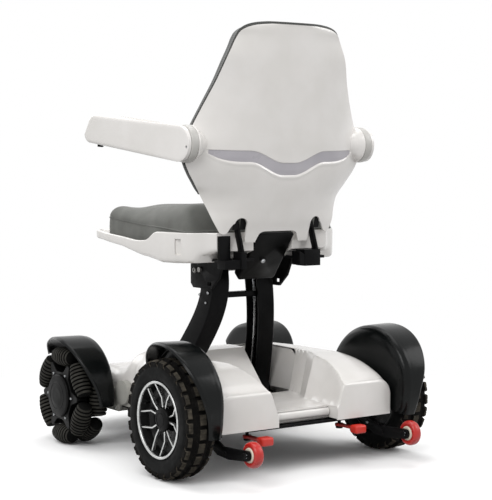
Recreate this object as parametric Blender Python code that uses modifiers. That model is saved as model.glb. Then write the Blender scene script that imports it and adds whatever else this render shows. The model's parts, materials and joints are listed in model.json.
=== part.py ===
# Folding power wheelchair, metres, +Z up, +Y forwards, +X to the sitter's right.
# The origin is on the floor, midway along the chair's length and width.

import math

import bmesh
import bpy
import numpy as np
from mathutils import Matrix, Vector

# Gaps
gap = 0.0003            # between pieces that touch
running_gap = 0.0005    # round pins and in moving joints

# Overall
half_length = 0.451     # front edge of the footplate and back of the anti-tip wheels
ground_gap = 0.095      # floor to the underside of the chassis

# Rear wheels
rear_radius = 0.127
rear_track = 0.287      # half of the distance between the two wheels
rear_width = 0.070
rear_axle_y = -0.2345
rim_radius = 0.083
window_outer = 0.068
window_inner = 0.038
tread_depth = 0.006
tread_blocks = 14

# Front omni wheels
front_radius = 0.114
front_track = 0.270
front_axle_y = 0.2345
roller_radius = 0.0225
roller_half = 0.032
rollers_in_row = 6
row_offset = 0.0201     # half of the distance between the two rows
hub_radius = 0.062
hub_spread = 0.22
hub_thickness = 0.031
arm_reach = 0.0965
arm_spread = 0.135
cap_radius = 0.049
spindle_radius = 0.012
motor_shaft = 0.008
motor_steps = 14
rear_motor_radius = 0.025
front_motor_radius = 0.0135
flange_radius = 0.038

# Fenders
fender_wall = 0.003
rear_fender_top = 0.162
front_fender_top = 0.139
front_fender_inner = 0.2235

# Base cover
cover_wall = 0.004
cover_half = 0.234
rear_fender_inner = cover_half + fender_wall + gap
cover_front_half = 0.205
cover_bottom = 0.101
cover_rear_y = -0.334
cover_front_y = 0.290
hump_top = 0.226
hump_rear = 0.180
nose_top = 0.180
valley_floor = 0.130
valley_half = 0.112
valley_foot = 0.084
valley_recess_y = -0.299
slot_outer = 0.146
slot_inner = 0.062
slot_front_y = 0.082
slot_rear_y = -0.090
foot_slot_rear_y = -0.087     # hole in the trough floor round each leg foot
foot_slot_front_y = 0.076
ramp_top_y = 0.000

# Chassis
chassis_plate = 0.005
chassis_half = 0.150
chassis_rear_y = -0.318
chassis_front_y = 0.290
lug_radius = 0.019
lug_lean = 0.0055           # the legs lean in, so their inner lugs stand this much further in
shaft_radius = 0.006

# Legs and their levelling rods
leg_foot = Vector((0.115, 0.030, 0.125))
leg_head = Vector((0.060, -0.055, 0.420))
leg_bend_low = Vector((0.090, -0.022, 0.250))
leg_bend_high = Vector((0.068, -0.056, 0.335))
leg_width = 0.045
leg_depth = 0.054
leg_foot_depth = 0.047
leg_head_depth = 0.050
bar_seat = 0.0010            # the legs lean away above the cross bar, so its ends stand out by this
leg_wall = 0.005
rod_offset = Vector((0.0, 0.0106, 0.0078))
rod_radius = 0.0035
rod_pin = 0.003
rod_lug_x = 0.027
rod_x = 0.008           # rods sit this far inside their legs' middle
shaft_reach = leg_foot.x + leg_width / 2 + 0.012

# Seat
seat_half = 0.220
seat_rear_y = -0.200
seat_front_y = 0.244
tray_top = 0.4525
seat_rim = 0.510
seat_dip = seat_rim - 0.022
seat_belly_drop = 0.010     # tray's top to the lowest point of the shell's sides
seat_floor = 0.005
tray_thickness = 0.006
cheek_inner = 0.0905
cheek_thickness = 0.006
housing_half = 0.049
cushion_half = 0.203
cushion_front_y = 0.190
cushion_rear_y = -0.165

# Backrest
back_hinge_y = -0.200
back_hinge_z = 0.600
back_wall = 0.006
back_shares = (-1, -0.84, -0.63, -0.42, -0.21, 0, 0.21, 0.42, 0.63, 0.84, 1)
back_cushion_thickness = 0.052
strip_x = 0.100
frame_y = -0.2235
smile_half = 0.194
smile_bow = 0.105
strip_thickness = 0.005
strip_slot = strip_thickness / 2 + gap
socket_half = 0.0065        # half width of the socket round each strip

# Armrests
arm_pivot_y = -0.210
arm_pivot_z = 0.701
arm_ring_radius = 0.0400
arm_ring_inner = 0.224
arm_ring_outer = 0.241
arm_width = 0.055
arm_length = 0.345      # pivot to front end
arm_tilt = math.radians(6.8)
arm_chamfer = 0.0705        # the outer rear corner is taken off over this length
arm_chamfer_start = 0.0065  # and over the width from here outwards
arm_rear_depth = 0.076
arm_front_depth = 0.066
stick_well_depth = 0.0165   # leaves the gimbal free to tip to its 16 degrees

# Footplate, battery, anti-tip wheels, levers
foot_hinge_y = 0.312
foot_half = 0.150
foot_z = 0.106
foot_thickness = 0.012
battery_half = 0.078
battery_length = 0.240
battery_height = 0.030
tip_radius = 0.027
tip_width = 0.022
tip_x = 0.209
tip_z = 0.073
lever_x = 0.125
lever_y = -0.356
lever_z = 0.079
lever_reach = 0.075     # tab's rear edge to the pin

sides = (("left", -1), ("right", 1))


# Scene and materials

def clear_scene():
    for item in list(bpy.data.objects):
        bpy.data.objects.remove(item, do_unlink=True)


def make_collection(name):
    collection = bpy.data.collections.new(name)
    bpy.context.scene.collection.children.link(collection)
    return collection


def make_material(name, colour, roughness, metallic=0.0):
    material = bpy.data.materials.new(name)
    material.use_nodes = True
    shader = material.node_tree.nodes["Principled BSDF"]
    shader.inputs["Base Color"].default_value = (*colour, 1.0)
    shader.inputs["Roughness"].default_value = roughness
    shader.inputs["Metallic"].default_value = metallic
    return material


clear_scene()
parts = make_collection("folding_power_wheelchair")
helpers = make_collection("cutters")

white_abs = make_material("white_abs", (0.80, 0.80, 0.79), 0.22)
black_abs = make_material("black_abs", (0.012, 0.012, 0.013), 0.28)
black_steel = make_material("black_steel", (0.020, 0.020, 0.021), 0.42, 0.3)
tyre_rubber = make_material("tyre_rubber", (0.022, 0.021, 0.019), 0.75)
roller_rubber = make_material("roller_rubber", (0.030, 0.030, 0.028), 0.70)
rim_alloy = make_material("rim_alloy", (0.045, 0.045, 0.048), 0.30, 0.6)
red_polyurethane = make_material("red_polyurethane", (0.55, 0.012, 0.010), 0.30)
red_plastic = make_material("red_plastic", (0.60, 0.015, 0.012), 0.35)
cushion_cloth = make_material("cushion_cloth", (0.20, 0.205, 0.20), 0.85)
dark_cloth = make_material("dark_cloth", (0.07, 0.075, 0.078), 0.85)
lavender_lens = make_material("lavender_lens", (0.42, 0.42, 0.48), 0.35)
ring_grey = make_material("ring_grey", (0.50, 0.50, 0.49), 0.35)
zinc_steel = make_material("zinc_steel", (0.60, 0.60, 0.60), 0.30, 1.0)


# Objects

def finish(name, mesh, material, group=None, smooth=30.0):
    item = bpy.data.objects.new(name, mesh)
    (group or parts).objects.link(item)
    if material:
        mesh.materials.clear()
        mesh.materials.append(material)
    if smooth:
        mesh.shade_smooth()
        mesh.set_sharp_from_angle(angle=math.radians(smooth))
    return item


def from_bmesh(name, shape, material=None, group=None, smooth=30.0):
    bmesh.ops.recalc_face_normals(shape, faces=shape.faces)
    mesh = bpy.data.meshes.new(name)
    shape.to_mesh(mesh)
    shape.free()
    return finish(name, mesh, material, group, smooth)


def as_helper(item):
    for owner in list(item.users_collection):
        owner.objects.unlink(item)
    helpers.objects.link(item)
    item.hide_render = True
    item.display_type = "WIRE"
    return item


def box(name, low, high, material=None, bevel=0.0, segments=2):
    shape = bmesh.new()
    bmesh.ops.create_cube(shape, size=1.0)
    low = Vector(low)
    high = Vector(high)
    size = high - low
    bmesh.ops.scale(shape, vec=size, verts=shape.verts)
    bmesh.ops.translate(shape, vec=(low + high) / 2, verts=shape.verts)
    if bevel:
        bmesh.ops.bevel(shape, geom=shape.edges, offset=bevel, segments=segments,
                        profile=0.5, affect="EDGES")
    return from_bmesh(name, shape, material)


def rod_between(name, start, end, radius, material=None, sides_round=20, radius_end=None):
    start = Vector(start)
    end = Vector(end)
    shape = bmesh.new()
    bmesh.ops.create_cone(shape, cap_ends=True, segments=sides_round, radius1=radius,
                          radius2=radius if radius_end is None else radius_end,
                          depth=(end - start).length)
    turn = Vector((0, 0, 1)).rotation_difference(end - start).to_matrix().to_4x4()
    bmesh.ops.transform(shape, matrix=Matrix.Translation((start + end) / 2) @ turn,
                        verts=shape.verts)
    return from_bmesh(name, shape, material)


def turned_x(name, profile, centre, side, material=None, steps=32):
    # A closed profile of (radius, x outwards) points, turned about the X axis.
    shape = bmesh.new()
    rings = []
    for index in range(steps):
        angle = 2 * math.pi * index / steps
        ring = [shape.verts.new((centre[0] + side * x, centre[1] + r * math.cos(angle),
                                 centre[2] + r * math.sin(angle))) for r, x in profile]
        rings.append(ring)
    count = len(profile)
    for index in range(steps):
        here = rings[index]
        after = rings[(index + 1) % steps]
        for k in range(count):
            nxt = (k + 1) % count
            shape.faces.new((here[k], here[nxt], after[nxt], after[k]))
    return from_bmesh(name, shape, material)


def loft(name, rings, material=None, smooth=30.0):
    # Closed rings with equal point counts, skinned and capped at both ends.
    shape = bmesh.new()
    made = [[shape.verts.new(point) for point in ring] for ring in rings]
    count = len(rings[0])
    for here, after in zip(made, made[1:]):
        for k in range(count):
            nxt = (k + 1) % count
            shape.faces.new((here[k], here[nxt], after[nxt], after[k]))
    shape.faces.new(made[0])
    shape.faces.new(made[-1])
    return from_bmesh(name, shape, material, smooth=smooth)


def plate_x(name, outline, low_x, high_x, material=None):
    # A flat side plate: an outline of (y, z) points between two x planes.
    return loft(name, [[(x, y, z) for y, z in outline] for x in (low_x, high_x)], material)


def plate_y(name, outline, low_y, high_y, material=None):
    return loft(name, [[(x, y, z) for x, z in outline] for y in (low_y, high_y)], material)


def sheet(name, points, thickness, material=None, offset=-1.0, smooth=40.0):
    # An open grid of points, thickened with Solidify.
    rows = len(points)
    columns = len(points[0])
    mesh = bpy.data.meshes.new(name)
    flat = [tuple(point) for row in points for point in row]
    faces = [(r * columns + c, r * columns + c + 1, (r + 1) * columns + c + 1,
              (r + 1) * columns + c) for r in range(rows - 1) for c in range(columns - 1)]
    mesh.from_pydata(flat, [], faces)
    item = finish(name, mesh, material, smooth=smooth)
    solid = item.modifiers.new("wall", "SOLIDIFY")
    solid.thickness = thickness
    solid.offset = offset
    solid.use_even_offset = True
    return item


def combine(item, others, operation):
    for other in others:
        modifier = item.modifiers.new(operation.lower(), "BOOLEAN")
        modifier.operation = operation
        modifier.solver = "EXACT"
        modifier.object = as_helper(other)
    return item


def cut(item, *others):
    return combine(item, others, "DIFFERENCE")


def join(item, *others):
    return combine(item, others, "UNION")


def settle(item, smooth=30.0):
    # Applies the modifiers, so that the result can be shared or used as a cutter.
    bpy.context.view_layer.update()
    graph = bpy.context.evaluated_depsgraph_get()
    mesh = bpy.data.meshes.new_from_object(item.evaluated_get(graph))
    shape = bmesh.new()
    shape.from_mesh(mesh)
    bmesh.ops.remove_doubles(shape, verts=shape.verts, dist=0.00002)
    bmesh.ops.dissolve_degenerate(shape, edges=shape.edges, dist=0.00001)
    shape.to_mesh(mesh)
    shape.free()
    item.modifiers.clear()
    item.data = mesh
    if smooth:
        mesh.shade_smooth()
        mesh.set_sharp_from_angle(angle=math.radians(smooth))
    return item


def axis_empty(name, place):
    empty = bpy.data.objects.new(name, None)
    empty.empty_display_size = 0.03
    empty.location = place
    parts.objects.link(empty)
    return empty


def hang(empty, *items):
    bpy.context.view_layer.update()
    for item in items:
        item.parent = empty
        item.matrix_parent_inverse = empty.matrix_world.inverted()


def arc(centre, radius, start, end, count):
    # Points of a circular arc in a plane, angles in degrees.
    return [(centre[0] + radius * math.cos(math.radians(start + (end - start) * k / count)),
             centre[1] + radius * math.sin(math.radians(start + (end - start) * k / count)))
            for k in range(count + 1)]


def smooth_values(stations, values, places):
    return np.interp(places, stations, values)


# Rear wheels

def knobby_tyre(name, side):
    # Each block's pitch has four columns, and the two halves are staggered by half a pitch.
    half = rear_width / 2
    bead = rim_radius + gap
    profile = [(-0.92 * half, bead), (-half, bead + 0.018),
               (-0.97 * half, rear_radius - 0.012), (-0.72 * half, rear_radius - 0.001),
               (-0.06 * half, rear_radius), (0.06 * half, rear_radius),
               (0.72 * half, rear_radius - 0.001), (0.97 * half, rear_radius - 0.012),
               (half, bead + 0.018), (0.92 * half, bead)]
    lowered = {3: 0, 4: 0, 5: 1, 6: 1}
    pitch = 2 * math.pi / tread_blocks
    columns = []
    for block in range(tread_blocks):
        for step, low in ((0.02, False), (0.46, False), (0.52, True), (0.96, True)):
            columns.append(((block + step) * pitch, low))
    rings = []
    for angle, low in columns:
        ring = []
        for k, (x, r) in enumerate(profile):
            if k in lowered and low != bool(lowered[k]):
                r -= tread_depth
            ring.append((side * rear_track + x, rear_axle_y + r * math.cos(angle),
                         rear_radius + r * math.sin(angle)))
        rings.append(ring)
    shape = bmesh.new()
    made = [[shape.verts.new(point) for point in ring] for ring in rings]
    count = len(profile)
    for index, here in enumerate(made):
        after = made[(index + 1) % len(made)]
        for k in range(count):
            nxt = (k + 1) % count
            shape.faces.new((here[k], here[nxt], after[nxt], after[k]))
    return from_bmesh(name, shape, tyre_rubber, smooth=20.0)


def spoked_rim(name, side):
    # A barrel with a dished face, five pairs of spokes and a round cap over the hub.
    centre = (side * rear_track, rear_axle_y, rear_radius)
    outer = rim_radius - gap
    rim = turned_x(name, [(outer, -0.032), (outer, 0.032), (outer - 0.006, 0.0335), (outer - 0.009, 0.028),
                          (0.030, 0.017), (0.027, 0.024), (0.0, 0.024), (0.0, -0.010),
                          (0.024, -0.010), (0.028, 0.008), (outer - 0.012, 0.016), (outer - 0.006, -0.032)],
                   centre, side, rim_alloy, 20)
    merge_axis(rim)
    windows = []
    for spoke in range(5):
        middle = 90 + 72 * spoke
        ring = arc((0, 0), window_outer, middle - 26, middle + 26, 3)
        ring += arc((0, 0), window_inner, middle + 17, middle - 17, 1)
        windows.append([(side * rear_track, rear_axle_y + y, rear_radius + z) for y, z in ring])
    shape = bmesh.new()
    for ring in windows:
        low = [shape.verts.new((p[0] - 0.03, p[1], p[2])) for p in ring]
        high = [shape.verts.new((p[0] + 0.05, p[1], p[2])) for p in ring]
        shape.faces.new(low)
        shape.faces.new(high)
        for k in range(len(ring)):
            nxt = (k + 1) % len(ring)
            shape.faces.new((low[k], low[nxt], high[nxt], high[k]))
    cutter = from_bmesh(name + "_windows", shape)
    bore = rod_between(name + "_bore", (side * (rear_track - 0.05), rear_axle_y, rear_radius),
                       (side * (rear_track + 0.012), rear_axle_y, rear_radius),
                       motor_shaft + running_gap, None, 16)
    return cut(rim, cutter, bore)


def merge_axis(item):
    shape = bmesh.new()
    shape.from_mesh(item.data)
    bmesh.ops.remove_doubles(shape, verts=shape.verts, dist=0.00002)
    shape.to_mesh(item.data)
    shape.free()


def build_rear_wheel(label, side):
    tyre = knobby_tyre("rear_tyre_" + label, side)
    rim = spoked_rim("rear_rim_" + label, side)
    empty = axis_empty("rear_wheel_axis_" + label, (side * rear_track, rear_axle_y, rear_radius))
    hang(empty, tyre, rim)


# Front omni wheels

def roller(name, angle, x):
    # A barrel whose outer side lies on the wheel's own circle.
    centre_r = front_radius - roller_radius
    stations = np.linspace(-roller_half, roller_half, 5)
    profile = []
    for t in stations:
        profile.append((t, math.sqrt(front_radius ** 2 - t ** 2) - centre_r))
    radial = Vector((0, math.cos(angle), math.sin(angle)))
    along = Vector((0, -math.sin(angle), math.cos(angle)))
    across = Vector((1, 0, 0))
    middle = Vector((x, 0, 0)) + radial * centre_r
    rings = []
    for t, radius in profile:
        ring = []
        for k in range(8):
            turn = 2 * math.pi * k / 8
            ring.append(middle + along * t + radial * (radius * math.cos(turn))
                        + across * (radius * math.sin(turn)))
        rings.append(ring)
    return loft(name, rings, None)


def omni_row():
    # One row of the wheel about the origin: a six-armed hub whose arms hold the rollers' pins.
    star = []
    for k in range(rollers_in_row):
        valley = 2 * math.pi * k / rollers_in_row
        arm = valley + math.pi / rollers_in_row
        star.append((hub_radius, valley - hub_spread))
        star.append((hub_radius, valley + hub_spread))
        star.append((arm_reach, arm - arm_spread))
        star.append((arm_reach, arm + arm_spread))
    outline = [(r * math.cos(angle), r * math.sin(angle)) for r, angle in star]
    hub = plate_x("omni_row", outline, -hub_thickness / 2, hub_thickness / 2, roller_rubber)
    rollers = [roller("roller_%d" % k, 2 * math.pi * k / rollers_in_row, 0.0) for k in range(rollers_in_row)]
    bore = rod_between("row_bore", (-0.05, 0, 0), (0.05, 0, 0), spindle_radius + gap, None, 16)
    return settle(cut(settle(join(hub, *rollers)), bore))


def place_row(name, row, x, turn):
    mesh = row.data.copy()
    place = Matrix.Translation((x, front_axle_y, front_radius))
    mesh.transform(place @ Matrix.Rotation(turn, 4, "X"))
    return finish(name, mesh, roller_rubber)


def build_front_wheel(label, side, row):
    outer = place_row("omni_outer_row_" + label, row, side * (front_track + row_offset), math.radians(30))
    inner = place_row("omni_inner_row_" + label, row, side * (front_track - row_offset), 0.0)
    face = front_track + row_offset + hub_thickness / 2 + gap
    inner_end = front_track - row_offset - hub_thickness / 2 - face
    bore_end = front_track + row_offset + 0.002 - face
    dome = [(cap_radius, 0.0), (cap_radius - 0.001, 0.005), (0.030, 0.008), (0.0, 0.010)]
    sleeve = [(0.0, bore_end), (motor_shaft + running_gap, bore_end), (motor_shaft + running_gap, inner_end),
              (spindle_radius, inner_end), (spindle_radius, 0.0)]
    cap = turned_x("omni_cap_" + label, dome + sleeve, (side * face, front_axle_y, front_radius), side,
                   black_abs, 20)
    merge_axis(cap)
    empty = axis_empty("front_wheel_axis_" + label, (side * front_track, front_axle_y, front_radius))
    hang(empty, outer, inner, cap)


# Fenders

def fender(name, side, centre_y, centre_z, inner_x, stations, bore):
    # stations are (angle, radius, outer x). The wall turns down inside the wheel round a soft corner.
    angles = [row[0] for row in stations]
    places = np.linspace(angles[0], angles[-1], 9)
    radii = smooth_values(angles, [row[1] for row in stations], places)
    outers = smooth_values(angles, [row[2] for row in stations], places)
    points = []
    for angle, radius, outer in zip(places, radii, outers):
        turn = math.radians(angle)
        profile = [(radius - 0.004, outer), (radius, outer - 0.006), (radius, inner_x + 0.022),
                   (radius - 0.005, inner_x + 0.008), (radius - 0.018, inner_x),
                   (radius * 0.62, inner_x), (bore, inner_x)]
        points.append([(side * x, centre_y + r * math.cos(turn), centre_z + r * math.sin(turn))
                       for r, x in profile])
    return sheet(name, points, fender_wall, black_abs, offset=side * 1.0)


rear_fender_shape = ((38, 0.153, 0.276), (60, 0.158, 0.300), (85, rear_fender_top, 0.317),
                     (128, rear_fender_top, 0.316), (150, 0.156, 0.302), (172, 0.142, 0.284),
                     (192, 0.135, 0.276))
front_fender_shape = ((42, 0.133, 0.285), (62, 0.137, 0.305), (85, front_fender_top, 0.316),
                      (130, front_fender_top, 0.310), (150, 0.138, 0.296), (172, 0.136, 0.276),
                      (186, 0.134, 0.268))


# Base

def cover_ring(y, half, top, shoulder, low, wall=0.0):
    # One cross-section of the cover: flat foot, upright side and a rounded shoulder.
    half -= wall
    top -= wall
    shoulder = min(shoulder, top - low - 0.01, half * 0.8)
    right = [(half, low)] + arc((half - shoulder, top - shoulder), shoulder, 0, 90, 3)
    right.append((half * 0.35, top))
    left = [(-x, z) for x, z in reversed(right)]
    return [(x, y, z) for x, z in right + left]


def cover_body(name, wall=0.0):
    stations = ((cover_rear_y + wall, cover_half - 0.004, hump_rear - 0.004, 0.030),
                (cover_rear_y + 0.006 + wall / 2, cover_half, hump_rear + 0.002, 0.034),
                (cover_rear_y + 0.035, cover_half, hump_rear + 0.018, 0.040),
                (-0.255, cover_half, hump_top - 0.010, 0.046),
                (-0.200, cover_half, hump_top, 0.050),
                (-0.100, cover_half - 0.002, hump_top + 0.001, 0.050),
                (0.000, cover_half - 0.010, hump_top + 0.001, 0.050),
                (0.052, cover_front_half, hump_top + 0.001, 0.048),
                (0.078, cover_front_half, hump_top - 0.002, 0.046),
                (0.115, cover_front_half, nose_top + 0.016, 0.040),
                (0.150, cover_front_half, nose_top + 0.002, 0.036),
                (0.240, cover_front_half, nose_top - 0.002, 0.036),
                (cover_front_y - 0.016, cover_front_half - 0.004, nose_top - 0.014, 0.036),
                (cover_front_y - wall, cover_front_half - 0.016, nose_top - 0.034, 0.030))
    low = cover_bottom - (0.02 if wall else 0.0)
    return loft(name, [cover_ring(y, half, top, shoulder, low, wall)
                       for y, half, top, shoulder in stations], white_abs)


def valley_body(name, grow=0.0):
    # The trough between the humps, wider towards the legs, and the ramp that ends it.
    def ring(y, foot, half, floor):
        rise = 0.03
        top = hump_top + rise
        lean = (half - foot) / (hump_top - floor)
        half += lean * rise
        return [(x, y, z) for x, z in ((-foot - grow, floor - grow), (foot + grow, floor - grow),
                                       (half + grow, top), (-half - grow, top))]
    return loft(name, [ring(cover_rear_y - 0.02, valley_foot - 0.004, valley_half, valley_floor),
                       ring(-0.200, valley_foot + 0.004, valley_half + 0.004, valley_floor),
                       ring(-0.150, valley_foot + 0.030, slot_outer - 0.010, valley_floor),
                       ring(slot_rear_y + grow, slot_outer - 0.020, slot_outer, valley_floor),
                       ring(ramp_top_y + grow, slot_outer - 0.030, slot_outer - 0.004, hump_top - 0.004)])


def side_box(name, side, inner, outer, low_y, high_y, low_z, high_z):
    # A box between two distances from the chair's middle, on one side of it.
    return box(name, (min(side * inner, side * outer), low_y, low_z),
               (max(side * inner, side * outer), high_y, high_z))


def leg_troughs(grow=0.0):
    # Deep bays on both sides of the ramp, in which the legs stand and fold.
    return [side_box("leg_trough_%s_%d" % (label, grow > 0), side, slot_inner - grow, slot_outer + grow,
                     slot_rear_y - 0.002 - grow, slot_front_y + grow, valley_floor - grow, hump_top + 0.03)
            for label, side in sides]


def rear_recess(grow=0.0):
    return box("rear_recess_%d" % (grow > 0), (-battery_half - 0.001 - grow, cover_rear_y - 0.02, cover_bottom - 0.03),
               (battery_half + 0.001 + grow, valley_recess_y + grow, valley_floor + 0.02))


def base_cover():
    cover = cover_body("base_cover")
    hollow = cut(cover_body("cover_hollow", cover_wall), valley_body("valley_walls", cover_wall),
                 rear_recess(cover_wall), *leg_troughs(cover_wall))
    door = box("battery_door", (-battery_half - 0.001, valley_recess_y - 0.01, cover_bottom - 0.02),
               (battery_half + 0.001, valley_recess_y + 0.05, valley_floor - cover_wall + gap))
    holes = [side_box("foot_slot_" + label, side, slot_inner, slot_outer, foot_slot_rear_y, foot_slot_front_y,
                      cover_bottom - 0.02, valley_floor + 0.01) for label, side in sides]
    room = shaft_radius + 0.0015
    reach = shaft_reach + 0.0015
    holes.append(box("shaft_room", (-reach, leg_foot.y - room, cover_bottom - 0.02),
                     (reach, leg_foot.y + room, leg_foot.z + room)))
    for label, side in sides:
        holes.append(rod_between("rear_axle_hole_" + label, (side * 0.20, rear_axle_y, rear_radius),
                                 (side * 0.26, rear_axle_y, rear_radius), 0.020, None, 20))
        holes.append(rod_between("front_axle_hole_" + label, (side * 0.18, front_axle_y, front_radius),
                                 (side * 0.23, front_axle_y, front_radius), 0.020, None, 20))
    return cut(cover, valley_body("valley"), *leg_troughs(), settle(hollow), rear_recess(), door, *holes)


def chassis_frame():
    low = ground_gap
    high = low + chassis_plate
    half = [(chassis_half, chassis_rear_y), (chassis_half, -0.300), (0.236, -0.300), (0.236, -0.190),
            (chassis_half, -0.190), (chassis_half, 0.060), (cover_front_half, 0.060),
            (cover_front_half, 0.200), (chassis_half, 0.200), (chassis_half, chassis_front_y)]
    plan = half + [(-x, y) for x, y in reversed(half)]
    frame = loft("chassis_frame", [[(x, y, z) for x, y in plan] for z in (low, high)], black_steel)
    pieces = []
    lug = arc((leg_foot.y, leg_foot.z), lug_radius, 0, 180, 6)
    lug = [(leg_foot.y + 0.024, high - 0.002)] + lug + [(leg_foot.y - 0.024, high - 0.002)]
    outer = leg_foot.x + leg_width / 2 + running_gap
    inner = leg_foot.x - leg_width / 2 - lug_lean
    motor_rest = rear_radius - rear_motor_radius * math.cos(math.pi / motor_steps) - gap
    for label, side in sides:
        for tag, a, b in (("outer", outer, outer + 0.006), ("inner", inner - 0.006, inner)):
            pieces.append(plate_x("lug_" + tag + label, lug, side * a, side * b))
        pieces.append(box("rear_motor_rest_" + label, (min(side * 0.125, side * 0.149), rear_axle_y - 0.02, high - 0.001),
                          (max(side * 0.125, side * 0.149), rear_axle_y + 0.02, motor_rest)))
        x = side * lever_x
        y = lever_y + lever_reach
        pieces.append(rod_between("lever_pin_" + label, (x, y, lever_z - 0.007), (x, y, high - 0.001), 0.004, None, 14))
        pieces.append(rod_between("pin_head_" + label, (x, y, lever_z - 0.008),
                                  (x, y, lever_z - 0.003 - running_gap), 0.008, None, 14))
    holes = rod_between("shaft_hole", (-0.2, leg_foot.y, leg_foot.z), (0.2, leg_foot.y, leg_foot.z),
                        shaft_radius + gap, None, 12)
    rod_foot = leg_foot + rod_offset
    rod_holes = rod_between("rod_hole", (-inner - 0.001, rod_foot.y, rod_foot.z), (inner + 0.001, rod_foot.y, rod_foot.z),
                            rod_pin + running_gap, None, 12)
    return cut(join(frame, *pieces), holes, rod_holes)


def rear_motor(label, side):
    outer = cover_half - 0.004
    radius = rear_motor_radius
    shaft_end = rear_track + 0.010
    body = turned_x("rear_motor_" + label,
                    [(0.0, 0.128), (radius * 0.8, 0.128), (radius, 0.134), (radius, outer - 0.012),
                     (radius * 0.7, outer - 0.006), (0.016, outer), (motor_shaft, outer + 0.002),
                     (motor_shaft, shaft_end), (0.0, shaft_end)],
                    (0, rear_axle_y, rear_radius), side, black_steel, motor_steps)
    merge_axis(body)
    return body


def front_motor(label, side):
    wall = front_fender_inner - fender_wall - gap
    face = cover_front_half + 0.001
    flange = ((0.016, face), (flange_radius, face), (flange_radius, wall), (motor_shaft, wall))
    outer = cover_front_half - 0.0015
    body = turned_x("front_motor_" + label,
                    [(0.0, 0.090), (0.011, 0.090), (front_motor_radius, 0.096), (front_motor_radius, outer - 0.006),
                     (0.013, outer), *flange, (motor_shaft, front_track + row_offset), (0.0, front_track + row_offset)],
                    (0, front_axle_y, front_radius), side, black_steel, motor_steps)
    merge_axis(body)
    return body


def front_bracket(label, side):
    x0 = side * (cover_front_half + gap)
    x1 = side * (cover_front_half + 0.007)
    outline = [(0.196, 0.100), (0.196, 0.132), (0.120, 0.138), (0.064, 0.138), (0.060, 0.1005),
               (0.110, 0.1005), (0.118, 0.084), (0.188, 0.084)]
    plate = plate_x("front_bracket_" + label, outline, x0, x1, black_steel)
    boss = rod_between("pivot_boss", (side * (cover_front_half + 0.002), 0.088, 0.133),
                       (side * (cover_front_half + 0.0150), 0.088, 0.133), 0.028, None, 16)
    foot = box("bracket_foot", (min(side * 0.180, x1), 0.120, 0.084), (max(side * 0.180, x1), 0.186, ground_gap - gap))
    bolts = [rod_between("bolt_%d" % k, (side * (cover_front_half + 0.005), y, 0.092),
                         (side * (cover_front_half + 0.012), y, 0.092), 0.0055, None, 6)
             for k, y in enumerate((0.126, 0.148, 0.178))]
    return join(plate, boss, foot, *bolts)


def anti_tip(label, side):
    # A flat arm on the left of its wheel, on both sides of the chair, and the axle through the wheel.
    wheel_x = side * tip_x
    wheel_y = -half_length + tip_radius
    arm_x = wheel_x - tip_width / 2 - 0.0012
    outline = [(-0.262, 0.0945), (-0.300, 0.0945), (-0.340, 0.078), (wheel_y + 0.004, tip_z + 0.010)]
    outline += arc((wheel_y, tip_z), 0.0115, 100, 260, 6)[1:]
    outline += [(-0.360, 0.055), (-0.320, 0.058), (-0.268, 0.084)]
    arm = plate_x("anti_tip_arm_" + label, outline, arm_x - 0.006, arm_x, black_steel)
    axle = rod_between("axle", (arm_x - 0.003, wheel_y, tip_z), (wheel_x + tip_width / 2 + 0.003, wheel_y, tip_z),
                       0.004, None, 14)
    nut = rod_between("nut", (arm_x - 0.012, wheel_y, tip_z), (arm_x - 0.003, wheel_y, tip_z), 0.007, None, 6)
    bolt = rod_between("bolt", (arm_x - 0.010, -0.352, 0.066), (arm_x - 0.003, -0.352, 0.066), 0.0045, None, 10)
    foot = box("tip_foot", (arm_x - 0.006, -0.298, 0.086), (arm_x + 0.022, -0.264, ground_gap - gap))
    join(arm, axle, nut, bolt, foot)
    half = tip_width / 2
    wheel = turned_x("anti_tip_wheel_" + label,
                     [(tip_radius - 0.004, half), (tip_radius, half - 0.006), (tip_radius, -half + 0.006),
                      (tip_radius - 0.004, -half), (0.004 + running_gap, -half + 0.001),
                      (0.004 + running_gap, half - 0.001)],
                     (wheel_x, wheel_y, tip_z), 1, red_polyurethane, 20)
    empty = axis_empty("anti_tip_axis_" + label, (wheel_x, wheel_y, tip_z))
    hang(empty, wheel)


def freewheel_lever(label, side):
    # A red tab on a flat stem that turns about an upright pin under the motor.
    x = side * lever_x
    tab = box("freewheel_lever_" + label, (x - 0.015, lever_y - 0.004, lever_z - 0.009),
              (x + 0.015, lever_y + 0.020, lever_z + 0.009), red_plastic, 0.003, 1)
    stem = box("stem", (x - 0.006, lever_y + 0.015, lever_z - 0.003), (x + 0.006, lever_y + lever_reach, lever_z + 0.003))
    eye = rod_between("eye", (x, lever_y + lever_reach, lever_z - 0.003), (x, lever_y + lever_reach, lever_z + 0.003),
                      0.010, None, 12)
    hole = rod_between("pin_hole", (x, lever_y + lever_reach, lever_z - 0.02), (x, lever_y + lever_reach, lever_z + 0.02),
                       0.004 + running_gap, None, 14)
    settle(join(tab, stem, eye))
    cut(tab, hole)
    empty = axis_empty("lever_axis_" + label, (x, lever_y + lever_reach, lever_z))
    hang(empty, tab)


def battery():
    low = ground_gap + chassis_plate + gap
    top = low + battery_height - 0.006
    front = valley_recess_y - 0.001
    pack = box("battery_pack", (-battery_half, front, low), (battery_half, front + battery_length, top),
               white_abs, 0.003, 1)
    hang(axis_empty("battery_axis", (0, front, low)), pack)


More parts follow.
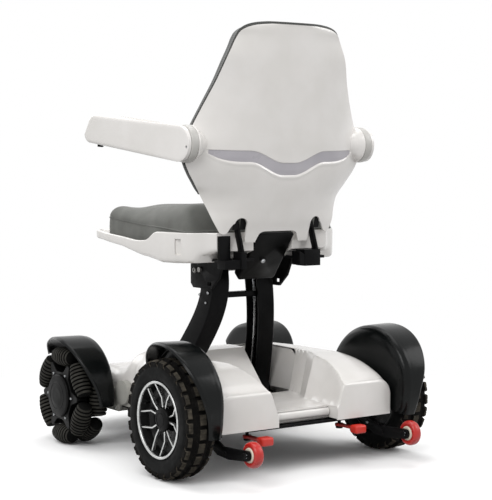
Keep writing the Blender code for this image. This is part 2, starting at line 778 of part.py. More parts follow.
def footplate():
    rear = foot_hinge_y
    plate = box("footplate", (-foot_half, rear - 0.004, foot_z - foot_thickness / 2),
                (foot_half, half_length, foot_z + foot_thickness / 2), black_abs, 0.004, 1)
    knuckle = rod_between("knuckle", (-0.06, rear, foot_z), (0.06, rear, foot_z), 0.010, None, 12)
    notches = [box("notch_%d" % side, (min(side * 0.0605, side * 0.0905), rear - 0.02, 0.05),
                   (max(side * 0.0605, side * 0.0905), rear + 0.012, 0.16)) for side in (-1, 1)]
    hole = rod_between("pin_hole", (-0.2, rear, foot_z), (0.2, rear, foot_z), 0.004 + running_gap, None, 14)
    settle(join(plate, knuckle))
    cut(plate, *notches, hole)
    hang(axis_empty("footplate_axis", (0, rear, foot_z)), plate)
    bracket = box("footplate_bracket", (-0.088, chassis_front_y + gap, ground_gap), (0.088, rear - 0.0145, ground_gap + 0.014),
                  black_steel)
    ears = [plate_x("ear_%d" % side, [(rear - 0.020, ground_gap), (rear, foot_z - 0.009), (rear + 0.009, foot_z),
                                      (rear, foot_z + 0.009), (rear - 0.020, ground_gap + 0.014)],
                    side * 0.064, side * 0.088) for side in (-1, 1)]
    pin = rod_between("pin", (-0.092, rear, foot_z), (0.092, rear, foot_z), 0.004, None, 14)
    return join(bracket, *ears, pin)


# Legs

def leg_path(count=8):
    # A smooth curve through the leg's two pivots and its two bends.
    points = [leg_foot, leg_bend_low, leg_bend_high, leg_head]
    knots = [0.0]
    for a, b in zip(points, points[1:]):
        knots.append(knots[-1] + (b - a).length)
    table = np.array(points)
    places = np.linspace(0.0, knots[-1], count)
    weights = np.array([[np.prod([(p - knots[m]) / (knots[k] - knots[m]) for m in range(4) if m != k])
                         for k in range(4)] for p in places])
    return [Vector(row) for row in weights @ table]


def leg(label, side):
    path = leg_path()
    rings = []
    last = len(path) - 1
    for index, point in enumerate(path):
        ahead = path[min(index + 1, last)] - path[max(index - 1, 0)]
        ahead.x = 0.0
        ahead.normalize()
        rear = Vector((0, -ahead.z, ahead.y))
        share = index / last
        depth = float(np.interp(share, (0.0, 0.25, 0.6, 1.0), (leg_foot_depth, leg_depth, leg_depth, leg_head_depth)))
        w = leg_width / 2
        d = depth / 2
        t = leg_wall
        section = ((w, -d), (w, d), (-w, d), (-w, d - t), (w - t, d - t), (w - t, -d + t),
                   (-w, -d + t), (-w, -d))
        rings.append([Vector((side * (point.x + a), point.y, point.z)) + rear * b for a, b in section])
    start = (path[0] - path[1]).normalized() * 0.002
    end = (path[-1] - path[-2]).normalized() * 0.002
    rings.insert(0, [p + Vector((0, start.y, start.z)) for p in rings[0]])
    rings.append([p + Vector((0, end.y, end.z)) for p in rings[-1]])
    channel = loft("leg_" + label, rings, black_steel)
    bosses = []
    for tag, centre, radius in (("foot", leg_foot, leg_foot_depth / 2), ("head", leg_head, leg_head_depth / 2)):
        x1 = centre.x + leg_width / 2
        bosses.append(rod_between(tag + "_round", (side * (x1 - leg_wall), centre.y, centre.z),
                                  (side * x1, centre.y, centre.z), radius, None, 14))
        bosses.append(rod_between(tag + "_tube", (side * (centre.x + 0.002), centre.y, centre.z),
                                  (side * (x1 - 0.001), centre.y, centre.z), shaft_radius + 0.0025, None, 12))
    settle(join(channel, *bosses))
    holes = [rod_between(tag + "_hole", (side * (centre.x - 0.04), centre.y, centre.z),
                         (side * (centre.x + 0.04), centre.y, centre.z), shaft_radius + extra, None, 12)
             for tag, centre, extra in (("foot", leg_foot, running_gap), ("head", leg_head, gap))]
    return cut(channel, *holes)


def guide_rod(label, side):
    # The levelling rod inside the leg's channel: the leg's own curve, moved by one offset.
    curve = bpy.data.curves.new("guide_rod_" + label, "CURVE")
    curve.dimensions = "3D"
    spline = curve.splines.new("POLY")
    path = [point + rod_offset for point in leg_path()]
    spline.points.add(len(path) - 1)
    for place, spot in zip(spline.points, path):
        place.co = (side * (spot.x - rod_x), spot.y, spot.z, 1.0)
    curve.bevel_depth = rod_radius
    curve.bevel_resolution = 1
    curve.use_fill_caps = True
    holder = bpy.data.objects.new("rod_curve_" + label, curve)
    parts.objects.link(holder)
    bpy.context.view_layer.update()
    graph = bpy.context.evaluated_depsgraph_get()
    mesh = bpy.data.meshes.new_from_object(holder.evaluated_get(graph))
    bpy.data.objects.remove(holder)
    shape = bmesh.new()
    shape.from_mesh(mesh)
    bmesh.ops.remove_doubles(shape, verts=shape.verts, dist=0.00002)
    rod = from_bmesh("guide_rod_" + label, shape, zinc_steel)
    foot_inner = leg_foot.x - leg_width / 2 - lug_lean - 0.007
    ends = ((path[0], foot_inner), (path[-1], rod_lug_x))
    pins = [rod_between("rod_pin", (side * (spot.x - rod_x + 0.001), spot.y, spot.z), (side * reach, spot.y, spot.z),
                        rod_pin, None, 12) for spot, reach in ends]
    return join(rod, *pins)


def leg_inner_x(z):
    path = leg_path(17)
    return float(np.interp(z, [p.z for p in path], [p.x for p in path])) - leg_width / 2 - gap


def build_legs():
    legs = [leg(label, side) for label, side in sides]
    rods = [guide_rod(label, side) for label, side in sides]
    head = leg_head
    shaft = rod_between("leg_top_shaft", (-cheek_inner - cheek_thickness - 0.005, head.y, head.z),
                        (cheek_inner + cheek_thickness + 0.005, head.y, head.z), shaft_radius, zinc_steel, 12)
    middle = leg_bend_high + Vector((0, 0, 0.026))
    low = middle.z - 0.006
    high = middle.z + 0.006
    foot, head = leg_inner_x(low) + bar_seat, leg_inner_x(high) + bar_seat
    section = [(foot, low), (head, high), (-head, high), (-foot, low)]
    bar = plate_y("leg_cross_bar", section, middle.y - 0.022, middle.y + 0.002, black_steel)
    hang(axis_empty("legs_axis", (0, leg_foot.y, leg_foot.z)), *legs, shaft, bar)
    hang(axis_empty("guide_rods_axis", (0, leg_foot.y + rod_offset.y, leg_foot.z + rod_offset.z)), *rods)
    return rod_between("leg_base_shaft", (-shaft_reach, leg_foot.y, leg_foot.z),
                       (shaft_reach, leg_foot.y, leg_foot.z), shaft_radius, zinc_steel, 12)


# Seat

def seat_carrier():
    # A folded steel tray with two cheeks for the legs and a socket for each back strip. The right socket
    # is one block with the mechanism's end stop, the left one has the back's release bracket beside it.
    notch = housing_half + 0.004
    half = [(0.140, -0.205), (0.140, 0.060)]
    plan = half + [(-x, y) for x, y in reversed(half)]
    plan += [(-notch, -0.205), (-notch, -0.130), (notch, -0.130), (notch, -0.205)]
    tray = loft("seat_carrier", [[(x, y, z) for x, y in plan] for z in (tray_top - tray_thickness, tray_top)],
                black_steel)
    outline = [(-0.150, tray_top - 0.004), (0.010, tray_top - 0.004), (-0.014, 0.436), (-0.014, 0.388),
               (-0.024, 0.378), (-0.098, 0.378), (-0.128, 0.404)]
    pieces = [plate_x("cheek_" + label, outline, side * cheek_inner, side * (cheek_inner + cheek_thickness))
              for label, side in sides]
    low = tray_top - 0.020
    outer = strip_x + socket_half
    inner = strip_x - socket_half
    pieces.append(box("end_stop", (notch + 0.010, -0.2340, low), (outer, -0.2020, tray_top + 0.016)))
    pieces.append(box("left_socket", (-outer, -0.2340, low), (-inner, -0.2020, tray_top + 0.016)))
    pieces.append(box("release_foot", (-0.1465, -0.2300, low), (-inner - 0.001, -0.2020, tray_top - 0.001)))
    pieces.append(box("release_bracket", (-0.1465, seat_rear_y - gap - 0.006, low + 0.001),
                      (-0.1170, seat_rear_y - gap, 0.503)))
    rod_head = leg_head + rod_offset
    inner_lug = [(-0.070, tray_top - 0.004), (-0.066, 0.412), (-0.056, 0.4035), (-0.046, 0.406),
                 (-0.036, 0.420), (-0.032, tray_top - 0.004)]
    for label, side in sides:
        pieces.append(plate_x("inner_lug_" + label, inner_lug, side * rod_lug_x, side * (rod_lug_x + 0.006)))
    holes = rod_between("head_hole", (-0.2, leg_head.y, leg_head.z), (0.2, leg_head.y, leg_head.z),
                        shaft_radius + running_gap, None, 12)
    rod_holes = rod_between("rod_hole", (-0.04, rod_head.y, rod_head.z), (0.04, rod_head.y, rod_head.z),
                            rod_pin + running_gap, None, 12)
    windows = [side_box("window_" + label, side, 0.08, 0.11, -0.100, -0.084, 0.386, 0.394)
               for label, side in sides]
    slots = [box("strip_slot_" + label, (side * strip_x - strip_slot, -0.2325 - gap, tray_top),
                 (side * strip_x + strip_slot, -0.19, 0.49)) for label, side in sides]
    return cut(settle(join(tray, *pieces)), holes, rod_holes, *windows, *slots)


def seat_stations():
    # (y, half width, top of the rim, underside at the sides), from back to front.
    belly = tray_top - seat_belly_drop
    return ((seat_rear_y, 0.148, seat_rim, tray_top + 0.017), (seat_rear_y + 0.018, 0.166, seat_rim, tray_top + 0.009),
            (-0.170, 0.186, seat_rim, belly + 0.005), (-0.120, 0.212, seat_rim, belly),
            (-0.080, seat_half, seat_rim, belly), (-0.062, seat_half, seat_rim - 0.001, belly + 0.003),
            (-0.020, seat_half, seat_dip + 0.002, belly + 0.009), (0.000, seat_half, seat_dip, tray_top + gap),
            (0.090, seat_half, seat_dip + 0.005, seat_dip - 0.018), (0.180, seat_half - 0.002, seat_dip + 0.012, seat_dip - 0.005),
            (0.225, seat_half - 0.014, seat_dip + 0.015, seat_dip + 0.001),
            (seat_front_y, seat_half - 0.036, seat_dip + 0.012, seat_dip + 0.004))


def seat_floor_at(y):
    # Height of the shell's inner floor, on which the cushion lies.
    stations = seat_stations()
    heights = [max(low, tray_top + gap) + seat_floor for _, _, _, low in stations]
    return float(np.interp(y, [row[0] for row in stations], heights))


def seat_shell():
    # A tray whose rim dips beside the cushion's front and whose bellies hang lower at the sides.
    stations = seat_stations()
    rings = []
    for y, half, top, low in stations:
        floor = max(low, tray_top + gap)
        round_low = min(0.010, (top - low) * 0.4)
        right = [(0.142, floor), (0.150, low), (half - round_low, low), (half, low + round_low),
                 (half, top - 0.003), (half - 0.003, top), (half - 0.012, top)]
        if half < 0.17:
            shrink = half / 0.17
            right[0] = (0.142 * shrink - 0.006, floor)
            right[1] = (0.150 * shrink - 0.004, low)
        left = [(-x, z) for x, z in reversed(right)]
        rings.append([(x, y, z) for x, z in right + left])
    shell = loft("seat_shell", rings, white_abs)
    well = []
    over = seat_rim + 0.02
    for y, half, top, low in stations[1:-2]:
        floor = seat_floor_at(y)
        half = half - 0.006
        well.append([(x, y, z) for x, z in ((-half + 0.008, floor), (half - 0.008, floor),
                                            (half, floor + 0.010), (half, over), (-half, over),
                                            (-half, floor + 0.010))])
    notch = box("housing_notch", (-housing_half - 0.003, -0.25, 0.40), (housing_half + 0.003, -0.129, over))
    return cut(shell, loft("seat_well", well), notch)


def superellipse(count, half_x, half_y, power):
    ring = []
    for k in range(count):
        angle = 2 * math.pi * k / count
        c = math.cos(angle)
        s = math.sin(angle)
        ring.append((half_x * math.copysign(abs(c) ** (2 / power), c),
                     half_y * math.copysign(abs(s) ** (2 / power), s)))
    return ring


def seat_cushion():
    # Stacked rounded outlines: drawn-in foot, full sides, crowned top with a saddle dip.
    mid_y = (cushion_front_y + cushion_rear_y) / 2
    half_y = (cushion_front_y - cushion_rear_y) / 2
    floor_z = tray_top + seat_floor + 2 * gap
    layers = ((floor_z, 0.93, 0.930), (floor_z + 0.006, 0.94, 0.935), (seat_rim - 0.004, 0.955, 0.937), (0.523, 0.99, 0.990),
              (0.544, 1.0, 1.0), (0.558, 0.975, 0.97), (0.566, 0.91, 0.90), (0.570, 0.78, 0.76),
              (0.571, 0.5, 0.5), (0.571, 0.2, 0.2))
    rings = []
    for index, (z, sx, sy) in enumerate(layers):
        ring = []
        for x, y in superellipse(24, cushion_half * sx, half_y * sy, 7.0):
            lift = 0.0
            if index >= 3:
                saddle = -0.010 * math.exp(-((y + mid_y + 0.0) / 0.055) ** 2)
                rear = 0.004 * max(0.0, -y / half_y)
                dish = -0.010 * (1 - min(1.0, abs(x) / (0.75 * cushion_half)) ** 2) * (index - 3) / 6
                lift = (saddle + rear + dish) * min(1.0, (index - 2) / 3)
            floor = seat_floor_at(mid_y + y) + 4 * gap
            if index == 1:
                floor += 0.005
            ring.append((x, mid_y + y, max(z + lift, floor)))
        rings.append(ring)
    return loft("seat_cushion", rings, cushion_cloth, 60.0)


# Backrest

back_rows = ((0.955, 0.060, -0.286, 0.004), (0.951, 0.098, -0.2855, 0.010), (0.942, 0.124, -0.285, 0.016),
             (0.925, 0.138, -0.284, 0.022), (0.885, 0.157, -0.282, 0.025), (0.835, 0.175, -0.279, 0.038),
             (0.785, 0.197, -0.275, 0.050), (0.737, 0.219, -0.271, 0.058), (0.700, 0.233, -0.268, 0.059),
             (0.672, 0.235, -0.265, 0.058), (0.645, 0.224, -0.262, 0.058), (0.616, 0.204, -0.256, 0.057),
             (0.587, 0.184, -0.248, 0.055), (0.560, 0.171, -0.240, 0.042), (0.535, 0.161, -0.232, 0.026),
             (0.512, 0.148, -0.2225, 0.013), (0.488, 0.130, -0.2155, 0.006))


def back_point(row, share, push=0.0, grow=0.0):
    z, half, middle, wrap = row
    x = share * (half + grow)
    return (x, middle + wrap * abs(share) ** 2.2 + push, z)


def back_shell():
    points = [[back_point(row, share) for share in back_shares] for row in back_rows]
    shell = sheet("back_shell", points, back_wall, white_abs, offset=1.0, smooth=50.0)
    bosses = []
    for label, side in sides:
        bosses.append(rod_between("ring_boss_" + label, (side * (arm_ring_inner - gap - 0.010), arm_pivot_y, arm_pivot_z),
                                  (side * (arm_ring_inner - gap), arm_pivot_y, arm_pivot_z), arm_ring_radius, None, 20))
        trim = rod_between("ring_seat_" + label, (side * (arm_ring_inner - gap), arm_pivot_y, arm_pivot_z),
                           (side * (arm_ring_inner + 0.03), arm_pivot_y, arm_pivot_z), arm_ring_radius + gap, None, 20)
        cut(shell, trim)
    settle(join(shell, *bosses), 50.0)
    cutters = []
    for label, side in sides:
        x = side * strip_x
        slot = [(x - 0.015, 0.40), (x - 0.015, 0.527)] + arc((x, 0.527), 0.015, 180, 0, 6) + [(x + 0.015, 0.40)]
        cutters.append(plate_y("slot_" + label, slot, -0.30, -0.15))
        lobe = [(side * x, z) for x, z in ((0.108, 0.46), (0.1145, 0.532), (0.1235, 0.522), (0.1280, 0.512),
                                           (0.1350, 0.507), (0.1430, 0.507), (0.1520, 0.516), (0.20, 0.518),
                                           (0.20, 0.46))]
        cutters.append(plate_y("lobe_end_" + label, lobe, -0.30, -0.15))
    notch = [(-0.062, 0.46), (-0.058, 0.490), (-0.050, 0.506), (-0.040, 0.5115), (0.040, 0.5115), (0.050, 0.506),
             (0.058, 0.490), (0.062, 0.46)]
    cutters.append(plate_y("centre_notch", notch, -0.30, -0.15))
    return cut(shell, *cutters)


def smile_edges(x):
    # Lower and upper edge of the light strip at x: level arms that sink into a bow at the middle.
    share = min(1.0, abs(x) / smile_bow)
    rise = share * share * (3 - 2 * share)
    outside = max(0.0, (abs(x) - smile_bow) / (smile_half - smile_bow))
    lower = 0.631 + 0.031 * rise + 0.022 * outside ** 1.6
    upper = 0.661 + 0.026 * rise + 0.002 * outside
    return lower, max(upper, lower + 0.002)


def back_surface_y(x, z):
    zs = [row[0] for row in reversed(back_rows)]
    half = np.interp(z, zs, [row[1] for row in reversed(back_rows)])
    middle = np.interp(z, zs, [row[2] for row in reversed(back_rows)])
    wrap = np.interp(z, zs, [row[3] for row in reversed(back_rows)])
    return float(middle + wrap * (abs(x) / half) ** 2.2)


def light_strip():
    xs = np.linspace(-smile_half, smile_half, 17)
    points = []
    for share in (0.0, 0.5, 1.0):
        row = []
        for x in xs:
            low, high = smile_edges(x)
            z = low + (high - low) * share
            row.append((x, back_surface_y(x, z) - 0.0020, z))
        points.append(row)
    return sheet("light_strip", points, 0.0012, lavender_lens, offset=-1.0)


def back_frame():
    plate = box("back_frame", (-0.095, frame_y, 0.590), (0.095, frame_y + 0.006, 0.665), black_steel)
    pieces = []
    for label, side in sides:
        x = side * (strip_x - 0.014)
        lug = [(frame_y + 0.001, 0.592), (frame_y + 0.001, 0.640)]
        lug += arc((back_hinge_y, back_hinge_z), 0.011, 60, -105, 6)
        pieces.append(plate_x("back_lug_" + label, lug, x - side * 0.010, x + side * 0.004))
        stud = side * 0.060
        pieces.append(rod_between("stud_" + label, (stud, back_surface_y(stud, 0.645) + back_wall + 0.0030, 0.645),
                                  (stud, frame_y + 0.001, 0.645), 0.008, None, 12))
    settle(join(plate, *pieces))
    hole = rod_between("hinge_hole", (-0.2, back_hinge_y, back_hinge_z), (0.2, back_hinge_y, back_hinge_z),
                       0.005 + running_gap, None, 14)
    return cut(plate, hole)


def back_normal(index, share):
    # Unit normal of the shell's surface at a row, pointing forwards.
    below = back_rows[min(index + 1, len(back_rows) - 1)]
    above = back_rows[max(index - 1, 0)]
    along = Vector(back_point(back_rows[index], min(share + 0.05, 1.05))) - Vector(back_point(back_rows[index], share - 0.05))
    up = Vector(back_point(above, share)) - Vector(back_point(below, share))
    normal = up.cross(along).normalized()
    return normal if normal.y > 0 else -normal


def back_cushion():
    # The cushion follows the shell, bulges at its rim and stops above the hinge in the middle.
    rings = []
    for index, row in enumerate(back_rows):
        z, half, middle, wrap = row
        if z < 0.58 or index == 0:
            continue
        top_share = min(1.0, (0.958 - z) / 0.05)
        low_share = min(1.0, (z - 0.570) / 0.06)
        thick = back_cushion_thickness * (0.45 + 0.55 * min(top_share, low_share) ** 0.6)
        back = []
        front = []
        for s in back_shares:
            share = s * 0.985
            clear = (back_wall + 0.0012) / max(0.6, back_normal(index, share).y)
            back.append(Vector(back_point(row, share, clear)))
        for s in reversed(back_shares):
            edge = 1 - 0.42 * abs(s) ** 6
            y = middle + back_wall + thick * edge + 0.62 * wrap * abs(s) ** 2.2
            y = max(y, back_point(row, s)[1] + back_wall + 0.010)
            front.append((s * (half + 0.004), min(y, -0.1805 - (z - 0.60) * 0.14 + 0.020 * abs(s) ** 3), z))
        rings.append(back + front)
    pad = loft("back_cushion", rings, dark_cloth, 60.0)
    room = frame_y + 0.006 + gap
    outline = [(-0.30, 0.55), (-0.10, 0.55), (-0.10, 0.618), (-0.195, 0.618), (-0.195, 0.640), (room, 0.640),
               (room, 0.668), (-0.30, 0.668)]
    pocket = plate_x("hinge_pocket", outline, -0.128, 0.128)
    rings = [rod_between("boss_room_" + label, (side * (arm_ring_inner - gap - 0.0105), arm_pivot_y, arm_pivot_z),
                         (side * 0.26, arm_pivot_y, arm_pivot_z), arm_ring_radius + 0.0012, None, 24)
             for label, side in sides]
    return cut(pad, pocket, *rings)


def back_strip(label, side):
    outline = [(-0.2320, tray_top + gap), (-0.2320, 0.470), (-0.2215, 0.500), (-0.2070, 0.540), (-0.2060, 0.560),
               (-0.2110, 0.600)]
    outline += arc((back_hinge_y, back_hinge_z), 0.011, 180, 0, 8)[1:]
    outline += [(-0.1900, 0.560), (-0.2035, 0.500), (-0.2125, 0.475), (-0.2125, tray_top + gap)]
    x = side * strip_x
    strip = plate_x("back_strip_" + label, outline, x - side * strip_thickness / 2, x + side * strip_thickness / 2,
                    black_steel)
    hole = rod_between("hinge_hole", (x - 0.02, back_hinge_y, back_hinge_z), (x + 0.02, back_hinge_y, back_hinge_z),
                       0.005 + gap, None, 16)
    return cut(strip, hole)


def hinge_housing():
    # The cover of the folding mechanism: a slanted box under the backrest's cut-out.
    outline = [(-0.2165, 0.5050), (-0.1380, 0.4010), (-0.1320, 0.4000), (-0.1180, 0.4130),
               (-0.1303, 0.4450), (-0.1303, 0.4530), (-0.1340, 0.4570), (-0.1675, 0.4570),
               (-0.1675, 0.5020), (-0.1700, 0.5070), (-0.2130, 0.5080)]
    middle = Vector((0, -0.160, 0.455))
    rings = []
    for x, grow in ((-housing_half, 0.93), (-housing_half + 0.004, 1.0), (housing_half - 0.004, 1.0),
                    (housing_half, 0.93)):
        rings.append([(x, middle.y + (y - middle.y) * grow, middle.z + (z - middle.z) * grow)
                      for y, z in outline])
    housing = loft("hinge_housing", rings, black_abs)
    bolt = rod_between("cover_bolt", (-0.010, -0.1785, 0.4445), (-0.010, -0.168, 0.4525), 0.006, None, 10)
    return join(housing, bolt)


# Armrests

def arm_turn():
    # From the armrest's own frame (pivot at the origin, along +Y) to the chair's.
    return Matrix.Translation((0, arm_pivot_y, arm_pivot_z)) @ Matrix.Rotation(arm_tilt, 4, "X")


def arm_outline(grow=0.0, shift=0.0):
    # Side view of the armrest: a round rear end, tapering to a rounded front. The shift moves the rear forwards.
    rear = arm_rear_depth / 2 + grow
    front = arm_front_depth / 2 + grow
    length = arm_length + grow
    local = arc((shift, 0), rear, 90, 270, 9)
    local += arc((length - front * 0.55 - 0.004, -front * 0.42), front * 0.58, -90, -10, 4)
    local += arc((length - front * 0.72 - 0.016, front * 0.28), front * 0.72, 15, 90, 4)
    turn = arm_turn()
    return [(spot.y, spot.z) for spot in (turn @ Vector((0, a, b)) for a, b in local)]


def arm_edge(reach):
    # Half depth of the armrest at a distance from its pivot.
    rear = arm_rear_depth / 2
    return rear + (arm_front_depth / 2 - rear) * reach / (arm_length - 0.022)


def arm_box(name, side, a0, a1, b0, b1, x0, x1, material=None, bevel=0.0):
    # A box in the armrest's own frame.
    item = box(name, (min(side * x0, side * x1), a0, b0), (max(side * x0, side * x1), a1, b1), material, bevel)
    item.data.transform(arm_turn())
    return item


def armrest(label, side):
    inner = arm_ring_outer + running_gap
    outer = inner + arm_width
    soft = 0.006
    chamfer = inner + arm_chamfer_start
    middle = (chamfer + outer) / 2
    rings = []
    for x, grow, shift in ((inner, -soft, 0.0), (inner + soft * 0.3, -soft * 0.3, 0.0), (chamfer, 0.0, 0.002),
                           (middle, 0.0, arm_chamfer * 0.5), (outer - soft, 0.0, arm_chamfer * 0.88),
                           (outer - soft * 0.3, -soft * 0.3, arm_chamfer * 0.97), (outer, -soft, arm_chamfer)):
        rings.append([(side * x, y, z) for y, z in arm_outline(grow, shift)])
    arm = loft("armrest_" + label, rings, white_abs)
    top = arm_rear_depth / 2 - 0.0035
    pad_start = arm_chamfer + 0.010
    pad_end = arm_length - 0.117
    pad_bed = arm_box("pad_bed", side, pad_start, pad_end, top - 0.008, top + 0.03, inner + 0.008, outer - 0.008)
    pad = arm_box("arm_pad_" + label, side, pad_start + 0.0005, pad_end - 0.0005, top - 0.008 + gap, top - 0.0005,
                  inner + 0.0085, outer - 0.0085, dark_cloth, 0.0012)
    cut(arm, pad_bed)
    if side > 0:
        low = arm_front_depth / 2 - 0.0005
        cut(arm, arm_box("stick_bed", side, arm_length - 0.1105, arm_length - 0.0445, low, low + 0.03,
                         inner - 0.01, outer + 0.01))
    bore = rod_between("arm_bore", (side * (inner - 0.01), arm_pivot_y, arm_pivot_z),
                       (side * (inner + 0.016), arm_pivot_y, arm_pivot_z), 0.010 + running_gap, None, 20)
    cut(arm, bore)
    ring = turned_x("arm_ring_" + label, [(0.0, 0.0), (arm_ring_radius - 0.001, 0.0), (arm_ring_radius, 0.001),
                                          (arm_ring_radius, 0.0155), (arm_ring_radius - 0.0015, 0.017),
                                          (0.010, 0.017), (0.010, 0.032), (0.0, 0.032)],
                    (side * arm_ring_inner, arm_pivot_y, arm_pivot_z), side, ring_grey, 24)
    merge_axis(ring)
    return arm, pad, ring


def build_armrests(back_axis):
    inner = arm_ring_outer + running_gap
    for label, side in sides:
        arm, pad, ring = armrest(label, side)
        hang(back_axis, ring)
        pieces = [arm, pad]
        if side < 0:
            foot = rod_between("armrest_foot_left", (side * (inner + 0.030), 0.0, 0.0),
                               (side * (inner + 0.030), 0.0, 0.006), 0.007, dark_cloth, 14)
            reach = arm_length - 0.049
            foot.data.transform(arm_turn() @ Matrix.Translation((0, reach, -arm_edge(reach) - gap - 0.006)))
            pieces.append(foot)
        else:
            pieces += joystick(inner)
        empty = axis_empty("armrest_axis_" + label, (side * arm_ring_outer, arm_pivot_y, arm_pivot_z))
        hang(empty, *pieces)
        hang(back_axis, empty)


def joystick(inner):
    # The controller on the right armrest's front end: housing, power button, gimbal and stick.
    low = arm_front_depth / 2 - 0.0005 + gap
    top = low + 0.019
    a0 = arm_length - 0.110
    a1 = arm_length - 0.045
    housing = arm_box("joystick_housing", 1, a0, a1, low, top, inner + 0.003, inner + arm_width - 0.003,
                      black_abs, 0.003)
    middle = inner + arm_width / 2
    turn = arm_turn()
    centre = Vector((middle, a0 + 0.038, top))
    spot = Vector((middle, a0 + 0.010, top))

    def upright(name, z0, z1, r0, r1, material=None, steps=20, place=centre):
        item = rod_between(name, (place.x, place.y, place.z + z0), (place.x, place.y, place.z + z1), r0,
                           material, steps, r1)
        item.data.transform(turn)
        return item

    well = upright("stick_well", -stick_well_depth, 0.01, 0.0170, 0.0170)
    button_well = upright("button_well", -0.004, 0.01, 0.0052, 0.0052, place=spot)
    cut(housing, well, button_well)
    gimbal = upright("joystick_gimbal", -0.0115, -0.0030, 0.0150, 0.0130, black_abs)
    inner_hole = upright("gimbal_hole", -0.0125, 0.01, 0.0080, 0.0080)
    pivot = turn @ (centre + Vector((0, 0, -0.007)))
    trunnion = rod_between("trunnion", pivot - Vector((0.0158, 0, 0)), pivot + Vector((0.0158, 0, 0)), 0.0028,
                           None, 10)
    settle(join(gimbal, trunnion))
    cut(gimbal, inner_hole)
    stick = upright("joystick_stick", -0.0100, 0.020, 0.0055, 0.0040, black_abs)
    knob = upright("stick_knob", 0.018, 0.036, 0.0085, 0.0110)
    collar = upright("stick_collar", -0.0080, -0.0060, 0.0077, 0.0077)
    join(stick, knob, collar)
    button = upright("power_button", -0.0036, 0.0014, 0.0048, 0.0044, red_plastic, 16, spot)
    gimbal_axis = axis_empty("gimbal_axis", pivot)
    stick_axis = axis_empty("stick_axis", pivot)
    hang(gimbal_axis, gimbal)
    hang(stick_axis, stick)
    hang(gimbal_axis, stick_axis)
    press = axis_empty("power_button_axis", turn @ spot)
    hang(press, button)
    return [housing, gimbal_axis, press]


# Assembly

def build_base():
    cover = base_cover()
    chassis_frame()
    for label, side in sides:
        fender("rear_fender_" + label, side, rear_axle_y, rear_radius, rear_fender_inner, rear_fender_shape, 0.040)
        fender("front_fender_" + label, side, front_axle_y, front_radius, front_fender_inner, front_fender_shape, flange_radius - 0.008)
        rear_motor(label, side)
        front_motor(label, side)
        front_bracket(label, side)
        anti_tip(label, side)
        freewheel_lever(label, side)
    battery()
    footplate()
    return cover


def build_seat():
    carrier = seat_carrier()
    shell = seat_shell()
    cushion = seat_cushion()
    strips = [back_strip(label, side) for label, side in sides]
    housing = hinge_housing()
    shaft = rod_between("back_hinge_shaft", (-0.106, back_hinge_y, back_hinge_z), (0.106, back_hinge_y, back_hinge_z),
                        0.005, zinc_steel, 16)
    empty = axis_empty("seat_axis", (0, leg_head.y, leg_head.z))
    hang(empty, carrier, shell, cushion, housing, shaft, *strips)
    back_axis = axis_empty("back_axis", (0, back_hinge_y, back_hinge_z))
    hang(back_axis, back_shell(), back_frame(), back_cushion(), light_strip())
    build_armrests(back_axis)


build_base()
row = omni_row()
for label, side in sides:
    build_rear_wheel(label, side)
    build_front_wheel(label, side, row)
as_helper(row)
build_legs()
build_seat()
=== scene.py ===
# Folding power wheelchair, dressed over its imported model.
# Metres, +Z up, +Y forwards, +X to the sitter's right. Places and sizes repeat the part's own.

import json
import math

import bmesh
import bpy
import numpy as np
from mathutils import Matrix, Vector
from mathutils.bvhtree import BVHTree

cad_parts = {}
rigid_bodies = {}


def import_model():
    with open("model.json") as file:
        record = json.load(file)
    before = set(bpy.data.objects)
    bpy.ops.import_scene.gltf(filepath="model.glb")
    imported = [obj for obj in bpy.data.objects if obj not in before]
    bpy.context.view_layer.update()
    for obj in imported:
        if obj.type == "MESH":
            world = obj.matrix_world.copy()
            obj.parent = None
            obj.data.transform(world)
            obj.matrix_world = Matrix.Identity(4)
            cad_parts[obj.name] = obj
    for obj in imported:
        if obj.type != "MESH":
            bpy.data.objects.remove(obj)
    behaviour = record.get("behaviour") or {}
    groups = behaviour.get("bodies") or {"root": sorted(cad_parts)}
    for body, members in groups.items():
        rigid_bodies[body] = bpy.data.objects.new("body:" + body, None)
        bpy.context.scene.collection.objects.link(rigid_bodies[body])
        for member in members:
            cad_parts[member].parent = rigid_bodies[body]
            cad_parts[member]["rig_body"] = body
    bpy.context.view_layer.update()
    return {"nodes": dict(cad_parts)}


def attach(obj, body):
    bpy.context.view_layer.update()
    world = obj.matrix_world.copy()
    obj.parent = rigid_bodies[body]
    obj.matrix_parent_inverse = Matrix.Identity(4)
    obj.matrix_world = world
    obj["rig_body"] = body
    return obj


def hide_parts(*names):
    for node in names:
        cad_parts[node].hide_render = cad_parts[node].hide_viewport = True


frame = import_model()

nodes = frame["nodes"]
sides = (("left", -1), ("right", 1))
print("frame loaded:", len(nodes), "nodes")


# Camera, floor and lights

view = {"place": (-1.8507, -2.7742, 0.6656), "turn": 34.648, "down": 3.5608, "focal": 1437.7, "tall": 500}

studio = {
    "world": 0.8,
    "floor": "#fdfdfd",
    "floorBounce": "#9a9a9a",    # what the floor sends back to the object, as a deep studio would
    "open": (0.5, 1.3),         # between these distances the floor fades into the white backdrop
    "lamps": (                   # place, aim, size, watts
        ((-2.6, -1.6, 2.6), (0.0, -0.1, 0.5), 1.8, 50),
        ((2.8, -1.8, 2.4), (0.0, 0.0, 0.5), 1.8, 30),
        ((0.2, 0.4, 3.4), (0.0, 0.0, 0.3), 2.6, 42),
        ((-0.6, 3.4, 2.2), (0.0, 0.0, 0.5), 2.2, 24),
    ),
}


